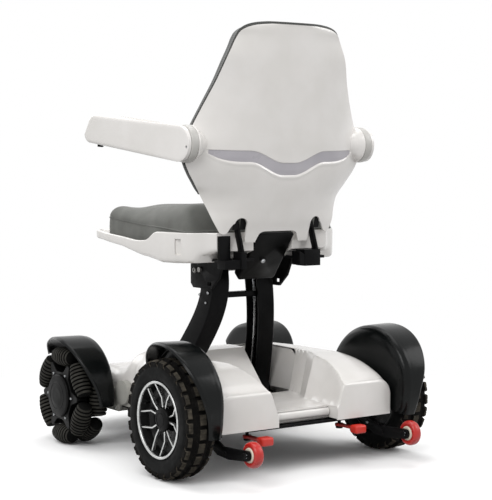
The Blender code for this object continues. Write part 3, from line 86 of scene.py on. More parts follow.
def makeCamera():
    # The lens keeps the photograph's focal length in pixels over its long side.
    data = bpy.data.cameras.new("photoCamera")
    data.sensor_width = 36
    data.lens = view["focal"] / view["tall"] * data.sensor_width
    camera = bpy.data.objects.new("photoCamera", data)
    camera.location = view["place"]
    camera.rotation_euler = (math.radians(90 - view["down"]), 0, -math.radians(view["turn"]))
    bpy.context.scene.collection.objects.link(camera)
    bpy.context.scene.camera = camera


def hexColour(text):
    # sRGB to linear: c/12.92 up to 0.04045, above it ((c + 0.055)/1.055) to the power 2.4
    c = np.array([int(text[i:i + 2], 16) for i in (1, 3, 5)]) / 255
    linear = np.where(c <= 0.04045, c / 12.92, ((c + 0.055) / 1.055) ** 2.4)
    return (*linear.tolist(), 1.0)


def addNode(tree, kind, settings=None, inputs=None):
    # Settings go on the node; an input is a value, or the socket that feeds it.
    node = tree.nodes.new(kind)
    for key, value in (settings or {}).items():
        setattr(node, key, value)
    for key, value in (inputs or {}).items():
        if isinstance(value, bpy.types.NodeSocket):
            tree.links.new(value, node.inputs[key])
        else:
            node.inputs[key].default_value = value
    return node


def mathNode(tree, operation, *values):
    return addNode(tree, "ShaderNodeMath", {"operation": operation}, dict(enumerate(values))).outputs[0]


def seenRays(tree):
    # 1 for what the camera sees, straight, in a gloss or through glass, and 0 for soft light.
    rays = addNode(tree, "ShaderNodeLightPath").outputs
    first = mathNode(tree, "MAXIMUM", rays["Is Camera Ray"], rays["Is Glossy Ray"])
    return mathNode(tree, "MAXIMUM", first, rays["Is Transmission Ray"])


def makeStudio():
    scene = bpy.context.scene
    scene.view_settings.view_transform = "Standard"
    world = bpy.data.worlds.new("whiteStudio")
    scene.world = world
    world.use_nodes = True
    tree = world.node_tree
    back = tree.nodes["Background"]
    strength = addNode(tree, "ShaderNodeMapRange", None,
                       {"Value": seenRays(tree), "To Min": studio["world"], "To Max": 1.0})
    back.inputs["Color"].default_value = (1, 1, 1, 1)
    tree.links.new(strength.outputs[0], back.inputs["Strength"])

    floorMat = bpy.data.materials.new("whiteStudioFloor")
    floorMat.use_nodes = True
    tree = floorMat.node_tree
    tree.nodes.clear()
    seen = seenRays(tree)
    tone = addNode(tree, "ShaderNodeMix", {"data_type": "RGBA"},
                   {0: seen, 6: hexColour(studio["floorBounce"]), 7: hexColour(studio["floor"])})
    matt = addNode(tree, "ShaderNodeBsdfDiffuse", None, {"Color": tone.outputs[2]})
    place = addNode(tree, "ShaderNodeTexCoord").outputs["Object"]
    away = addNode(tree, "ShaderNodeVectorMath", {"operation": "LENGTH"}, {0: place})
    near, far = studio["open"]
    fade = addNode(tree, "ShaderNodeMapRange", {"interpolation_type": "SMOOTHSTEP"},
                   {"Value": away.outputs["Value"], "From Min": near, "From Max": far})
    share = mathNode(tree, "MULTIPLY", seen, fade.outputs[0])
    white = addNode(tree, "ShaderNodeEmission", None, {"Color": (1, 1, 1, 1), "Strength": 1.0})
    both = addNode(tree, "ShaderNodeMixShader", None, {0: share, 1: matt.outputs[0], 2: white.outputs[0]})
    addNode(tree, "ShaderNodeOutputMaterial", None, {"Surface": both.outputs[0]})
    mesh = bpy.data.meshes.new("studioFloor")
    mesh.from_pydata([(-30, -30, 0), (30, -30, 0), (30, 30, 0), (-30, 30, 0)], [], [(0, 1, 2, 3)])
    mesh.materials.append(floorMat)
    floor = bpy.data.objects.new("studioFloor", mesh)
    scene.collection.objects.link(floor)

    for place, aim, size, watts in studio["lamps"]:
        data = bpy.data.lights.new("softbox", "AREA")
        data.shape = "SQUARE"
        data.size = size
        data.energy = watts
        lamp = bpy.data.objects.new("softbox", data)
        lamp.location = place
        lamp.rotation_euler = (Vector(aim) - Vector(place)).to_track_quat("-Z", "Y").to_euler()
        scene.collection.objects.link(lamp)


makeCamera()
makeStudio()
print("camera and studio set")


# Materials. Object coordinates are metres, so a noise scale is 1 / the size of its grains.

def newMaterial(name, colour, roughness, metallic=0.0, **sockets):
    material = bpy.data.materials.new(name)
    material.use_nodes = True
    tree = material.node_tree
    shader = tree.nodes["Principled BSDF"]
    values = {"Base Color": hexColour(colour), "Roughness": roughness, "Metallic": metallic, **sockets}
    for key, value in values.items():
        shader.inputs[key.replace("_", " ")].default_value = value
    return material, tree, shader, addNode(tree, "ShaderNodeTexCoord").outputs


def grains(tree, coords, size, detail):
    return addNode(tree, "ShaderNodeTexNoise", None,
                   {"Vector": coords, "Scale": 1 / size, "Detail": detail}).outputs["Fac"]


def stretch(tree, value, low, high, least, most):
    # Low to high becomes least to most.
    return addNode(tree, "ShaderNodeMapRange", None, {"Value": value, "From Min": low, "From Max": high,
                                                      "To Min": least, "To Max": most}).outputs[0]


def colourBy(tree, shader, value, low, high, colours):
    # The base colour drifts from the first colour, where the value is low, to the second.
    ramp = addNode(tree, "ShaderNodeValToRGB", None, {"Fac": value})
    for stop, position, colour in zip(ramp.color_ramp.elements, (low, high), colours):
        stop.position = position
        stop.color = hexColour(colour)
    tree.links.new(ramp.outputs["Color"], shader.inputs["Base Color"])
    return ramp.outputs["Color"]


def varyRoughness(tree, shader, coords, low, high, size):
    # Handling and wiping leave patches a little glossier and duller.
    worn = stretch(tree, grains(tree, coords, size, 4.0), 0.3, 0.7, low, high)
    tree.links.new(worn, shader.inputs["Roughness"])


def bump(tree, shader, height, distance, strength=1.0):
    # Bump of a height map, its distance in metres.
    made = addNode(tree, "ShaderNodeBump", None,
                   {"Height": height, "Distance": distance, "Strength": strength})
    tree.links.new(made.outputs["Normal"], shader.inputs["Normal"])


def coating(name, colours, roughness, gloss, index, patch, wear, grain):
    # wear: least and most share of the roughness, and the patches' size. grain: size, detail, height.
    material, tree, shader, place = newMaterial(name, colours[1], roughness, IOR=index,
                                                Specular_IOR_Level=gloss)
    coords = place["Object"]
    colourBy(tree, shader, grains(tree, coords, patch, 3.0), 0.35, 0.65, colours)
    varyRoughness(tree, shader, coords, roughness * wear[0], roughness * wear[1], wear[2])
    bump(tree, shader, grains(tree, coords, grain[0], grain[1]), grain[2])
    return material


def mouldedAbs(name, light, dark, roughness, peel=0.006, peelHeight=0.00005, gloss=0.5):
    # Injection-moulded ABS, high gloss: a faint orange peel and flow marks soften its reflections.
    return coating(name, (dark, light), roughness, gloss, 1.53, 0.09, (0.8, 1.35, 0.035),
                   (peel, 1.0, peelHeight))


def powderCoat(name, light, dark, roughness, grain=0.0016, grainHeight=0.00012, gloss=0.22):
    # Powder-coated steel: a fine pebble, drawn coarser than its real 0.4 mm so that it shows.
    return coating(name, (dark, light), roughness, gloss, 1.5, 0.03, (0.85, 1.25, 0.012),
                   (grain, 2.0, grainHeight))


def mouldedRubber(name, light, dark, roughness, dust, dustShare):
    # Carbon-black rubber: matt, with a bloom of dust in broken patches.
    material, tree, shader, place = newMaterial(name, light, roughness, IOR=1.52, Specular_IOR_Level=0.08)
    coords = place["Object"]
    clean = colourBy(tree, shader, grains(tree, coords, 0.018, 6.0), 0.3, 0.7, (dark, light))
    amount = stretch(tree, grains(tree, coords, 0.009, 8.0), 0.45, 0.8, 0.0, dustShare)
    dusty = addNode(tree, "ShaderNodeMix", {"data_type": "RGBA"}, {0: amount, 6: clean, 7: hexColour(dust)})
    tree.links.new(dusty.outputs[2], shader.inputs["Base Color"])
    bump(tree, shader, grains(tree, coords, 0.0022, 4.0), 0.00025)
    varyRoughness(tree, shader, coords, roughness * 0.85, min(1.0, roughness * 1.15), 0.02)
    return material


def wornMetal(name, light, dark, roughness, scratch=0.0009, metallic=1.0):
    # Turned or plated metal: fine tool marks, drawn out 14 times along X, and dull spots.
    material, tree, shader, place = newMaterial(name, light, roughness, metallic)
    coords = place["Object"]
    colourBy(tree, shader, grains(tree, coords, 0.006, 3.0), 0.35, 0.65, (dark, light))
    drawn = addNode(tree, "ShaderNodeMapping", None, {"Vector": coords, "Scale": (1.0, 14.0, 14.0)})
    bump(tree, shader, grains(tree, drawn.outputs[0], scratch * 14, 2.0), 0.00004)
    varyRoughness(tree, shader, coords, roughness * 0.75, roughness * 1.4, 0.005)
    return material


def wovenCloth(name, light, dark, thread):
    # Plain-weave polyester: warp over weft at the thread's pitch on the piece's own UV map in metres,
    # uneven yarn, and a soft sheen from the loose fibres.
    material, tree, shader, place = newMaterial(name, light, 0.88, Sheen_Weight=0.35, Sheen_Roughness=0.45,
                                                Sheen_Tint=hexColour("#d8d8d6"))
    waves = [addNode(tree, "ShaderNodeTexWave", {"wave_type": "BANDS", "bands_direction": direction},
                     {"Vector": place["UV"], "Scale": 3.14 / (20 * thread), "Distortion": 0.6,
                      "Detail": 1.0, "Detail Scale": 2.0}).outputs["Fac"] for direction in ("X", "Y")]
    weave = mathNode(tree, "MULTIPLY", *waves)
    shade = mathNode(tree, "MULTIPLY_ADD", weave, 0.25, grains(tree, place["Object"], 0.05, 5.0))
    colourBy(tree, shader, shade, 0.35, 0.95, (dark, light))
    bump(tree, shader, weave, 0.00012, 0.6)
    return material


def spacerMesh(name, light, dark, cell):
    # Knitted spacer fabric: round holes in a staggered net, darker inside.
    material, tree, shader, place = newMaterial(name, light, 0.9, Sheen_Weight=0.25, Sheen_Roughness=0.5)
    cells = addNode(tree, "ShaderNodeTexVoronoi", {"feature": "F1"},
                    {"Vector": place["UV"], "Scale": 1 / cell, "Randomness": 0.12}).outputs["Distance"]
    colourBy(tree, shader, cells, 0.22, 0.42, (dark, light))
    bump(tree, shader, cells, 0.0006, 0.7)
    return material


glossWhite = mouldedAbs("whiteGlossAbs", "#e4e1de", "#dddad6", 0.15, gloss=0.75)
fenderBlack = mouldedAbs("blackGlossAbs", "#0e1010", "#0a0c0c", 0.19, 0.009, 0.00007, 0.15)
softBlack = mouldedAbs("blackSatinAbs", "#0b0b0b", "#080808", 0.4, 0.002, 0.00008, 0.09)
steelBlack = powderCoat("blackPowderCoat", "#0c0c0d", "#080809", 0.42, gloss=0.08)
treadRubber = mouldedRubber("treadRubber", "#131211", "#0c0b0b", 0.82, "#2a2722", 0.3)
wornRubber = mouldedRubber("wornTreadTops", "#45413a", "#2f2c27", 0.86, "#625b50", 0.5)
wallRubber = mouldedRubber("sidewallRubber", "#090a0a", "#060606", 0.6, "#141312", 0.15)
rollerRubber = mouldedRubber("rollerRubber", "#3a3935", "#2a2926", 0.62, "#4a473f", 0.25)
# Near-black rubber in the rollers' grooves: painted shade between the ribs.
grooveShadeRubber = mouldedRubber("rollerGroovesPaintedShade", "#0f0f0e", "#090909", 0.8, "#161513", 0.1)
rimBlack = powderCoat("rimBlackEnamel", "#0f0f0f", "#0a0a0a", 0.3, 0.004, 0.00006, 0.2)
rimSilver = wornMetal("machinedAluminium", "#c9cac9", "#b4b5b4", 0.3)
# The front brackets are painted light grey, and their motors' ends cast grey.
bracketGrey = powderCoat("greyBracketCoat", "#a9a8a2", "#9a9993", 0.45)
motorGrey = powderCoat("castMotorGrey", "#3c3c3a", "#30302f", 0.5)
zincSteel = wornMetal("zincPlatedSteel", "#c4c6c8", "#a9abad", 0.28)
greyTrim = wornMetal("anodisedTrim", "#a3a19e", "#8f8d8a", 0.42, 0.0012, 0.6)
lensGrey = mouldedAbs("lavenderLens", "#b5b2b7", "#aba8ae", 0.34, 0.003, 0.00003)
ringGrey = mouldedAbs("pivotRingAbs", "#bdbbb7", "#b3b1ad", 0.3)
tyreRed = mouldedAbs("castPolyurethane", "#c3221a", "#a81a15", 0.28, 0.005, 0.00005)
leverRed = mouldedAbs("redLeverAbs", "#d32c1c", "#c02517", 0.36)
hubCream = mouldedAbs("creamNylonHub", "#e4dccb", "#d6cdbb", 0.4)
seatCloth = wovenCloth("greyPolyesterWeave", "#72736f", "#595a56", 0.0012)
backMesh = spacerMesh("greySpacerMesh", "#545553", "#2b2c2b", 0.0042)
padVinyl = mouldedAbs("whiteArmPadVinyl", "#dedbd7", "#d6d3cf", 0.55, 0.0014, 0.00018, 0.3)
print("materials made:", len(bpy.data.materials))


# Mesh tools

def quadsOf(rows, columns, wrapRows, wrapColumns, start):
    # Each quad joins a point with the next of its row and the two behind them in the next row.
    a, b = np.meshgrid(np.arange(rows if wrapRows else rows - 1),
                       np.arange(columns if wrapColumns else columns - 1), indexing="ij")
    c = (a + 1) % rows
    d = (b + 1) % columns
    quads = np.stack((a * columns + b, a * columns + d, c * columns + d, c * columns + b), -1)
    return start + quads.reshape(-1, 4)


def meshOf(name, grids):
    # Each grid is (points, wrapRows, wrapColumns, capped): rows x columns of points joined by quads,
    # last row to first and last column to first where wrapped, and a face over both end rows if capped.
    same = 0.000002
    places = []
    faces = []
    start = 0
    for points, wrapRows, wrapColumns, capped in grids:
        rows, columns = points.shape[:2]
        places.append(points.reshape(-1, 3))
        faces += quadsOf(rows, columns, wrapRows, wrapColumns, start).tolist()
        end = start + rows * columns
        if capped:
            faces += [list(range(start, start + columns)), list(range(end - columns, end))]
        start = end
    mesh = bpy.data.meshes.new(name)
    mesh.from_pydata(np.concatenate(places).tolist(), [], faces)
    shape = bmesh.new()
    shape.from_mesh(mesh)
    bmesh.ops.remove_doubles(shape, verts=shape.verts, dist=same)
    bmesh.ops.dissolve_degenerate(shape, edges=shape.edges, dist=same)
    bmesh.ops.recalc_face_normals(shape, faces=shape.faces)
    shape.to_mesh(mesh)
    shape.free()
    return mesh


def readVectors(items, name):
    # One vector for each vertex or polygon, such as its co, normal or center.
    flat = np.empty(len(items) * 3)
    items.foreach_get(name, flat)
    return flat.reshape(-1, 3)


def movePoints(mesh, points):
    mesh.vertices.foreach_set("co", points.ravel())
    mesh.update()


def shade(mesh, smooth, *materials):
    # Smooth shading up to an angle in degrees, after new materials where they are given.
    if materials:
        mesh.materials.clear()
    for material in materials:
        mesh.materials.append(material)
    mesh.shade_smooth()
    mesh.set_sharp_from_angle(angle=math.radians(smooth))


def addPiece(name, form, material, body, stands=(), smooth=35.0):
    # The form is a mesh, or a list of grids to make one of.
    mesh = meshOf(name, form) if isinstance(form, list) else form
    piece = bpy.data.objects.new(name, mesh)
    bpy.context.scene.collection.objects.link(piece)
    shade(mesh, smooth, *(material if isinstance(material, tuple) else (material,)))
    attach(piece, body)
    if stands:
        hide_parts(*stands)
    return piece


def applyAll(piece, smooth=None):
    # Bakes the modifiers into the mesh.
    bpy.context.view_layer.update()
    made = bpy.data.meshes.new_from_object(piece.evaluated_get(bpy.context.evaluated_depsgraph_get()))
    piece.modifiers.clear()
    piece.data = made
    if smooth:
        shade(made, smooth)


def thicken(piece, wall, inside, smooth=None):
    # An open sheet, turned over if its middle face looks towards a point inside, grows inwards into a wall.
    middle = piece.data.polygons[len(piece.data.polygons) // 2]
    if (middle.center - Vector(inside)).dot(middle.normal) < 0:
        piece.data.flip_normals()
    solid = piece.modifiers.new("wall", "SOLIDIFY")
    solid.thickness = wall
    solid.offset = -1.0
    solid.use_even_offset = True
    applyAll(piece, smooth)


def roundEdges(piece, width):
    bevel = piece.modifiers.new("roundEdges", "BEVEL")
    bevel.width = width
    bevel.segments = 2
    bevel.limit_method = "ANGLE"
    bevel.angle_limit = math.radians(30)
    bevel.use_clamp_overlap = True


def carve(piece, grids, smooth):
    # Cuts closed forms out of a white shell, all in one pass.
    tool = bpy.data.objects.new("cut", meshOf("cut", grids))
    bpy.context.scene.collection.objects.link(tool)
    cut = piece.modifiers.new("carve", "BOOLEAN")
    cut.operation = "DIFFERENCE"
    cut.solver = "EXACT"
    cut.use_self = len(grids) > 1
    cut.object = tool
    applyAll(piece)
    bpy.data.objects.remove(tool)
    shade(piece.data, smooth, glossWhite)


def smoothCurve(knots, values, places):
    # Cubic Hermite through the points, each slope the mean of its neighbours' weighted by their spans.
    x = np.asarray(knots, float)
    y = np.asarray(values, float)
    places = np.clip(np.asarray(places, float), x[0], x[-1])
    step = np.diff(x).reshape(-1, *([1] * (y.ndim - 1)))
    slope = np.diff(y, axis=0) / step
    inner = (slope[:-1] * step[1:] + slope[1:] * step[:-1]) / (step[:-1] + step[1:])
    tangent = np.concatenate((slope[:1], inner, slope[-1:]))
    k = np.clip(np.searchsorted(x, places, side="right") - 1, 0, len(x) - 2)
    h = np.diff(x)[k]
    t = ((places - x[k]) / h).reshape(places.shape + (1,) * (y.ndim - 1))
    h = h.reshape(t.shape)
    return ((2 * t ** 3 - 3 * t ** 2 + 1) * y[k] + (t ** 3 - 2 * t ** 2 + t) * h * tangent[k]
            + (3 * t ** 2 - 2 * t ** 3) * y[k + 1] + (t ** 3 - t ** 2) * h * tangent[k + 1])


def curved(rows, places):
    # The later columns of a table at places along its first, on smooth curves.
    table = np.array(rows, float)
    return np.moveaxis(smoothCurve(table[:, 0], table[:, 1:], places), -1, 0)


def straight(rows, places):
    # The same on straight lines.
    first, *others = np.array(rows, float).T
    return [np.interp(places, first, column) for column in others]


def runOf(points):
    # The distance along a line at each of its points.
    return np.concatenate(([0], np.cumsum(np.linalg.norm(np.diff(points, axis=0), axis=1))))


def alongLine(points, count):
    # A smooth line through control points, sampled evenly over its chord length.
    run = runOf(points)
    return smoothCurve(run, points, np.linspace(0, run[-1], count))


def roundedLine(points, radius, steps=4, closed=True):
    # Each corner becomes a quadratic arc that starts at most the radius, or half an edge, before it.
    p = np.asarray(points, float)
    before = np.roll(p, 1, axis=0)
    after = np.roll(p, -1, axis=0)
    r = np.broadcast_to(np.asarray(radius, float), (len(p),))[:, None]
    back = before - p
    ahead = after - p
    lengthBack = np.linalg.norm(back, axis=1, keepdims=True)
    lengthAhead = np.linalg.norm(ahead, axis=1, keepdims=True)
    a = p + back / lengthBack * np.minimum(r, lengthBack * 0.49)
    b = p + ahead / lengthAhead * np.minimum(r, lengthAhead * 0.49)
    t = np.linspace(0, 1, steps + 1)[None, :, None]
    made = (1 - t) ** 2 * a[:, None] + 2 * t * (1 - t) * p[:, None] + t ** 2 * b[:, None]
    if not closed:
        made[0] = p[0]
        made[-1] = p[-1]
    return made.reshape(-1, p.shape[1])


def arcOf(cx, cy, radius, start, end, count):
    # Points of an arc between two angles in degrees.
    a = np.radians(np.linspace(start, end, count))
    return np.stack((cx + radius * np.cos(a), cy + radius * np.sin(a)), -1)


def smoothStep(low, high, value):
    # 3 t^2 - 2 t^3 of how far the value has come from low to high.
    t = np.clip((value - low) / (high - low), 0, 1)
    return t * t * (3 - 2 * t)


def plateau(low, full, ebb, high, value):
    # Rises from low to full, and falls again from ebb to high.
    return smoothStep(low, full, value) * (1 - smoothStep(ebb, high, value))


def softMin(a, b, k):
    # Polynomial minimum of two heights, blended over a band of k.
    h = np.clip(0.5 + 0.5 * (b - a) / k, 0, 1)
    return b * (1 - h) + a * h - k * h * (1 - h)


def turnedGrid(profile, centre, side=1, steps=64, closed=False):
    # (radius, x) points turned about an axis along X, with x counted outwards on the piece's side.
    p = np.asarray(profile, float)
    angle = np.linspace(0, 2 * np.pi, steps, endpoint=False)[:, None]
    x = np.broadcast_to(centre[0] + side * p[:, 1], (steps, len(p)))
    points = np.stack((x, centre[1] + p[:, 0] * np.cos(angle), centre[2] + p[:, 0] * np.sin(angle)), -1)
    return (points, True, closed, False)


def prism(outline, low, high, axis=0):
    # A closed outline in the other two axes, carried between two planes of one axis.
    p = np.asarray(outline, float)
    return (np.stack([np.insert(p, axis, level, axis=1) for level in (low, high)]), False, True, True)


def ringsAlong(place, facing, rings, steps):
    # (radius, height) rings round a direction, standing on a place.
    along = np.asarray(facing, float) / np.linalg.norm(facing)
    side = np.cross(along, (0.0, 0.0, 1.0) if abs(along[2]) < 0.9 else (1.0, 0.0, 0.0))
    side /= np.linalg.norm(side)
    angle = np.linspace(0, 2 * np.pi, steps, endpoint=False)[None, :, None]
    radii, levels = np.asarray(rings, float).T[:, :, None, None]
    circle = side * np.cos(angle) + np.cross(along, side) * np.sin(angle)
    return np.asarray(place, float) + along * levels + radii * circle


def rodAt(start, end, radius, steps=20, soften=0.0008):
    # A round rod between two points with eased ends.
    way = np.subtract(end, start)
    length = np.linalg.norm(way)
    rings = ((radius - soften, 0), (radius, soften), (radius, length - soften), (radius - soften, length))
    return (ringsAlong(start, way, rings, steps), False, True, True)


def boltHead(place, facing, radius, height, steps=20):
    # A domed head with a socket, standing on its place. Six steps make it a hexagon.
    rings = np.array(((1.0, 0.0), (1.0, 0.45), (0.86, 0.85), (0.62, 1.0), (0.45, 1.0), (0.42, 0.5),
                      (0.0, 0.5)))
    return (ringsAlong(place, facing, rings * (radius, height), steps), False, True, False)


def mergedCopy(node):
    # The CAD node's loose triangles, joined, with flat regions as single faces.
    shape = bmesh.new()
    shape.from_mesh(nodes[node].data)
    bmesh.ops.remove_doubles(shape, verts=shape.verts, dist=0.00001)
    bmesh.ops.dissolve_limit(shape, angle_limit=math.radians(1.0), verts=shape.verts, edges=shape.edges)
    mesh = bpy.data.meshes.new(node)
    shape.to_mesh(mesh)
    shape.free()
    return mesh


def softened(name, node, width, material):
    # The CAD node's own form with its sharp edges eased, as moulded or deburred.
    piece = addPiece(name, mergedCopy(node), material, nodes[node]["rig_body"], (node,), 40.0)
    roundEdges(piece, width)
    applyAll(piece, 40.0)
    return piece


# Rear tyres: a torus whose tread stands up in staggered blocks

tyre = {"radius": 0.127, "track": 0.287, "axleY": -0.2345, "pitches": 26, "stepsPerPitch": 22,
        "block": 0.0064,
        # each row of blocks: from, to, and its shift in pitches
        "rows": ((-0.034, -0.0125, 0.5), (-0.0092, 0.0092, 0.0), (0.0125, 0.034, 0.5)),
        # in pitches, half the gap between two blocks and the run of a block's wall
        "gap": 0.08, "slope": 0.09,
        # where along the carcass the blocks fade out, how much of a block stays unworn, the sidewall's radius
        "fade": (0.033, 0.0385), "worn": 0.7, "wall": 0.1115,
        # x and radius of the carcass, from its middle out
        "carcass": ((0.0, 0.1206), (0.012, 0.1204), (0.023, 0.119), (0.0305, 0.115), (0.034, 0.108),
                    (0.0347, 0.0985), (0.0338, 0.089), (0.0315, 0.0835))}


def rearTyre(label, side):
    # Radius = carcass profile + block height x (inside a block's pitch) x (inside its row), eased walls.
    carcass = alongLine([(-x, r) for x, r in tyre["carcass"][:0:-1]] + list(tyre["carcass"]), 96)
    run = runOf(carcass)
    run -= run[-1] / 2
    tangent = np.gradient(carcass, axis=0)
    normal = np.stack((-tangent[:, 1], tangent[:, 0]), -1)
    normal /= np.linalg.norm(normal, axis=1, keepdims=True)
    normal *= np.sign(normal[:, 1:2] + 1e-9)
    shoulder = np.stack((np.sign(carcass[:, 0]) * 0.25, np.full(len(carcass), 0.97)), -1)
    outwards = np.where(np.abs(carcass[:, :1]) > 0.03, shoulder, normal)
    turn = np.arange(tyre["pitches"] * tyre["stepsPerPitch"]) / tyre["stepsPerPitch"]
    height = np.zeros((len(turn), len(carcass)))
    gap = tyre["gap"]
    full = gap + tyre["slope"]
    for low, high, shift in tyre["rows"]:
        phase = (turn + shift) % 1.0
        sipe = 1 - 0.14 * np.exp(-((phase - 0.5) / 0.03) ** 2)
        if low < -0.03 or high > 0.03:
            # The outer rows reach down the sidewall.
            low, high = (-0.047, low + 0.0135) if low < 0 else (high - 0.0135, 0.047)
        across = plateau(low, low + 0.0016, high - 0.0016, high, run)
        height += np.outer(plateau(gap, full, 1 - full, 1 - gap, phase) * sipe, across)
    stand = height * tyre["block"] * (0.02 + 0.98 * (1 - smoothStep(*tyre["fade"], np.abs(run))))
    form = carcass[None] + outwards[None] * stand[..., None]
    angle = 2 * np.pi * turn[:, None] / tyre["pitches"]
    x = side * tyre["track"] + np.clip(form[..., 0], -0.035, 0.035)
    y = tyre["axleY"] + form[..., 1] * np.cos(angle)
    z = tyre["radius"] + form[..., 1] * np.sin(angle)
    mesh = meshOf("rearTyre", [(np.stack((x, y, z), -1), True, True, False)])
    addPiece("rearTyre_" + label, mesh, (treadRubber, wallRubber, wornRubber), "rear_wheel_" + label,
             ("rear_tyre_" + label,), 28.0)
    # Worn tops are the faces that stand most of a block over the carcass.
    centres = readVectors(mesh.polygons, "center") - (side * tyre["track"], tyre["axleY"], tyre["radius"])
    reach = np.hypot(centres[:, 1], centres[:, 2])
    off = np.abs(centres[:, 0])
    top = straight(carcass[len(carcass) // 2:], off)[0] + tyre["block"] * tyre["worn"]
    worn = (reach > top) & (off < 0.0325)
    mesh.polygons.foreach_set("material_index", np.where(worn, 2, reach < tyre["wall"]).astype(np.int32))


# Rear rims: a black dish, a machined lip, five wishbone spokes with machined faces, and a hub cap

rim = {"radius": 0.0827, "lip": 0.0775, "dish": 0.004, "hub": 0.026, "kink": 0.046, "bar": 0.0034,
       "spokes": 5, "first": 29, "spread": (11, 13, 24), "front": (0.0195, 0.0215, 0.029)}


def spokeBars(side, centre):
    # Each bar runs hub - kink - lip: radii and angles off its wishbone's middle line, rising outwards.
    bars = []
    radii = np.array((rim["hub"] - 0.004, rim["kink"], rim["lip"] + 0.001))
    for k in range(rim["spokes"]):
        for way in (-1, 1):
            turn = np.radians(rim["first"] + 360 / rim["spokes"] * k + way * np.array(rim["spread"]))
            line = radii[:, None] * np.stack((np.cos(turn), np.sin(turn)), -1)
            along = np.gradient(line, axis=0)
            along /= np.linalg.norm(along, axis=1, keepdims=True)
            across = np.stack((-along[:, 1], along[:, 0]), -1) * rim["bar"] / 2
            rows = [np.column_stack((side * (np.array(rim["front"]) + depth), line + across * sign))
                    for sign, depth in ((1, 0.0), (-1, 0.0), (-1.5, -0.007), (1.5, -0.007))]
            bars.append((np.stack(rows, 1) + centre, False, True, True))
    return bars


def rearRim(label, side):
    # Turned profiles for the dish, lip and cap, and the spokes between them.
    centre = (side * tyre["track"], tyre["axleY"], tyre["radius"])
    body = "rear_wheel_" + label
    r = rim["radius"]
    dish = roundedLine(((0.0, rim["dish"]), (0.06, rim["dish"]), (0.0705, 0.008), (0.0745, 0.024),
                        (0.0765, 0.0325), (0.08, 0.0335), (r, 0.032), (r, -0.032), (0.078, -0.033),
                        (0.075, -0.026), (0.07, -0.006), (0.0, -0.006)), 0.003, 3, False)
    addPiece("rimDish_" + label, [turnedGrid(dish, centre, side, 96)], rimBlack, body,
             ("rear_rim_" + label,))
    lip = roundedLine(((0.0755, 0.0265), (0.0762, 0.033), (0.079, 0.0346), (0.0818, 0.0336), (0.0822, 0.03)),
                      0.0012, 3, False)
    addPiece("rimLip_" + label, [turnedGrid(lip, centre, side, 96, True)], rimSilver, body)
    bars = addPiece("rimSpokes_" + label, spokeBars(side, centre), rimSilver, body, (), 25.0)
    roundEdges(bars, 0.0005)
    cap = roundedLine(((0.0, 0.027), (0.018, 0.0262), (0.0245, 0.0235), (0.0262, 0.019), (0.0262, 0.003),
                       (0.0, 0.003)), 0.003, 4, False)
    ring = roundedLine(((0.013, 0.0262), (0.0138, 0.0274), (0.015, 0.0272), (0.0155, 0.0255)),
                       0.0006, 2, False)
    grids = [turnedGrid(cap, centre, side, 48), turnedGrid(ring, centre, side, 48, True)]
    addPiece("rimCap_" + label, grids, softBlack, body)
    stem = rodAt(np.add(centre, (side * 0.014, 0.06, 0.028)),
                 np.add(centre, (side * 0.028, 0.058, 0.027)), 0.0022, 12)
    addPiece("rimValve_" + label, [stem], softBlack, body)


for label, side in sides:
    rearTyre(label, side)
    rearRim(label, side)
print("rear wheels made")


# Front omni wheels: two rows of ribbed rollers between star hubs

omni = {"radius": 0.114, "track": 0.27, "axleY": 0.2345, "rowOffset": 0.0201,
        # a roller's radius and half length, and its ribs
        "count": 6, "roller": 0.0225, "half": 0.0395, "ribs": 9, "groove": 0.0052,
        # the star's radii, the half angles of its valleys and arms, and its thickness
        "hub": 0.057, "arm": 0.085, "hubSpread": 0.26, "armSpread": 0.06, "plate": 0.027}


def rollerGrid(angle, x):
    # Radius along the roller follows the wheel's own circle, less a groove between the ribs.
    middle = omni["radius"] - omni["roller"]
    t = np.linspace(-omni["half"], omni["half"], omni["ribs"] * 9 + 1)
    barrel = np.sqrt(omni["radius"] ** 2 - t ** 2) - middle
    phase = ((t + omni["half"]) / (2 * omni["half"]) * omni["ribs"]) % 1.0
    rib = plateau(0.06, 0.24, 0.76, 0.94, phase)
    radius = (barrel - omni["groove"] * (1 - rib))[:, None, None]
    turn = np.linspace(0, 2 * np.pi, 36, endpoint=False)[None, :, None]
    radial = np.array((0, math.cos(angle), math.sin(angle)))
    along = np.array((0, -math.sin(angle), math.cos(angle)))
    across = np.array((1.0, 0, 0))
    base = np.array((x, omni["axleY"], omni["radius"])) + radial * middle
    points = base + along * t[:, None, None] + radius * (radial * np.cos(turn) + across * np.sin(turn))
    return (points, False, True, True)


def inGroove(mesh, x, angles):
    # A face lies in a groove where it is more than a third of the groove's depth under its roller's barrel.
    centres = readVectors(mesh.polygons, "center") - (x, omni["axleY"], omni["radius"])
    turn = np.arctan2(centres[:, 2], centres[:, 1])[:, None] - np.array(angles)
    near = np.cos(turn).argmax(axis=1)
    radial = np.hypot(centres[:, 1], centres[:, 2])
    off = turn[np.arange(len(turn)), near]
    middle = omni["radius"] - omni["roller"]
    along = radial * np.sin(off)
    barrel = np.sqrt(np.maximum(omni["radius"] ** 2 - along ** 2, 0)) - middle
    return np.hypot(radial * np.cos(off) - middle, centres[:, 0]) < barrel - omni["groove"] * 0.35


def starOutline(shift):
    # Six broad arms between the rollers, each corner of the star rounded.
    star = []
    for k in range(omni["count"]):
        valley = 2 * math.pi * k / omni["count"] + shift
        arm = valley + math.pi / omni["count"]
        for r, a in ((omni["hub"], valley - omni["hubSpread"]), (omni["hub"], valley + omni["hubSpread"]),
                     (omni["arm"], arm - omni["armSpread"]), (omni["arm"], arm + omni["armSpread"])):
            star.append((omni["axleY"] + r * math.cos(a), omni["radius"] + r * math.sin(a)))
    return roundedLine(star, 0.006, 3)


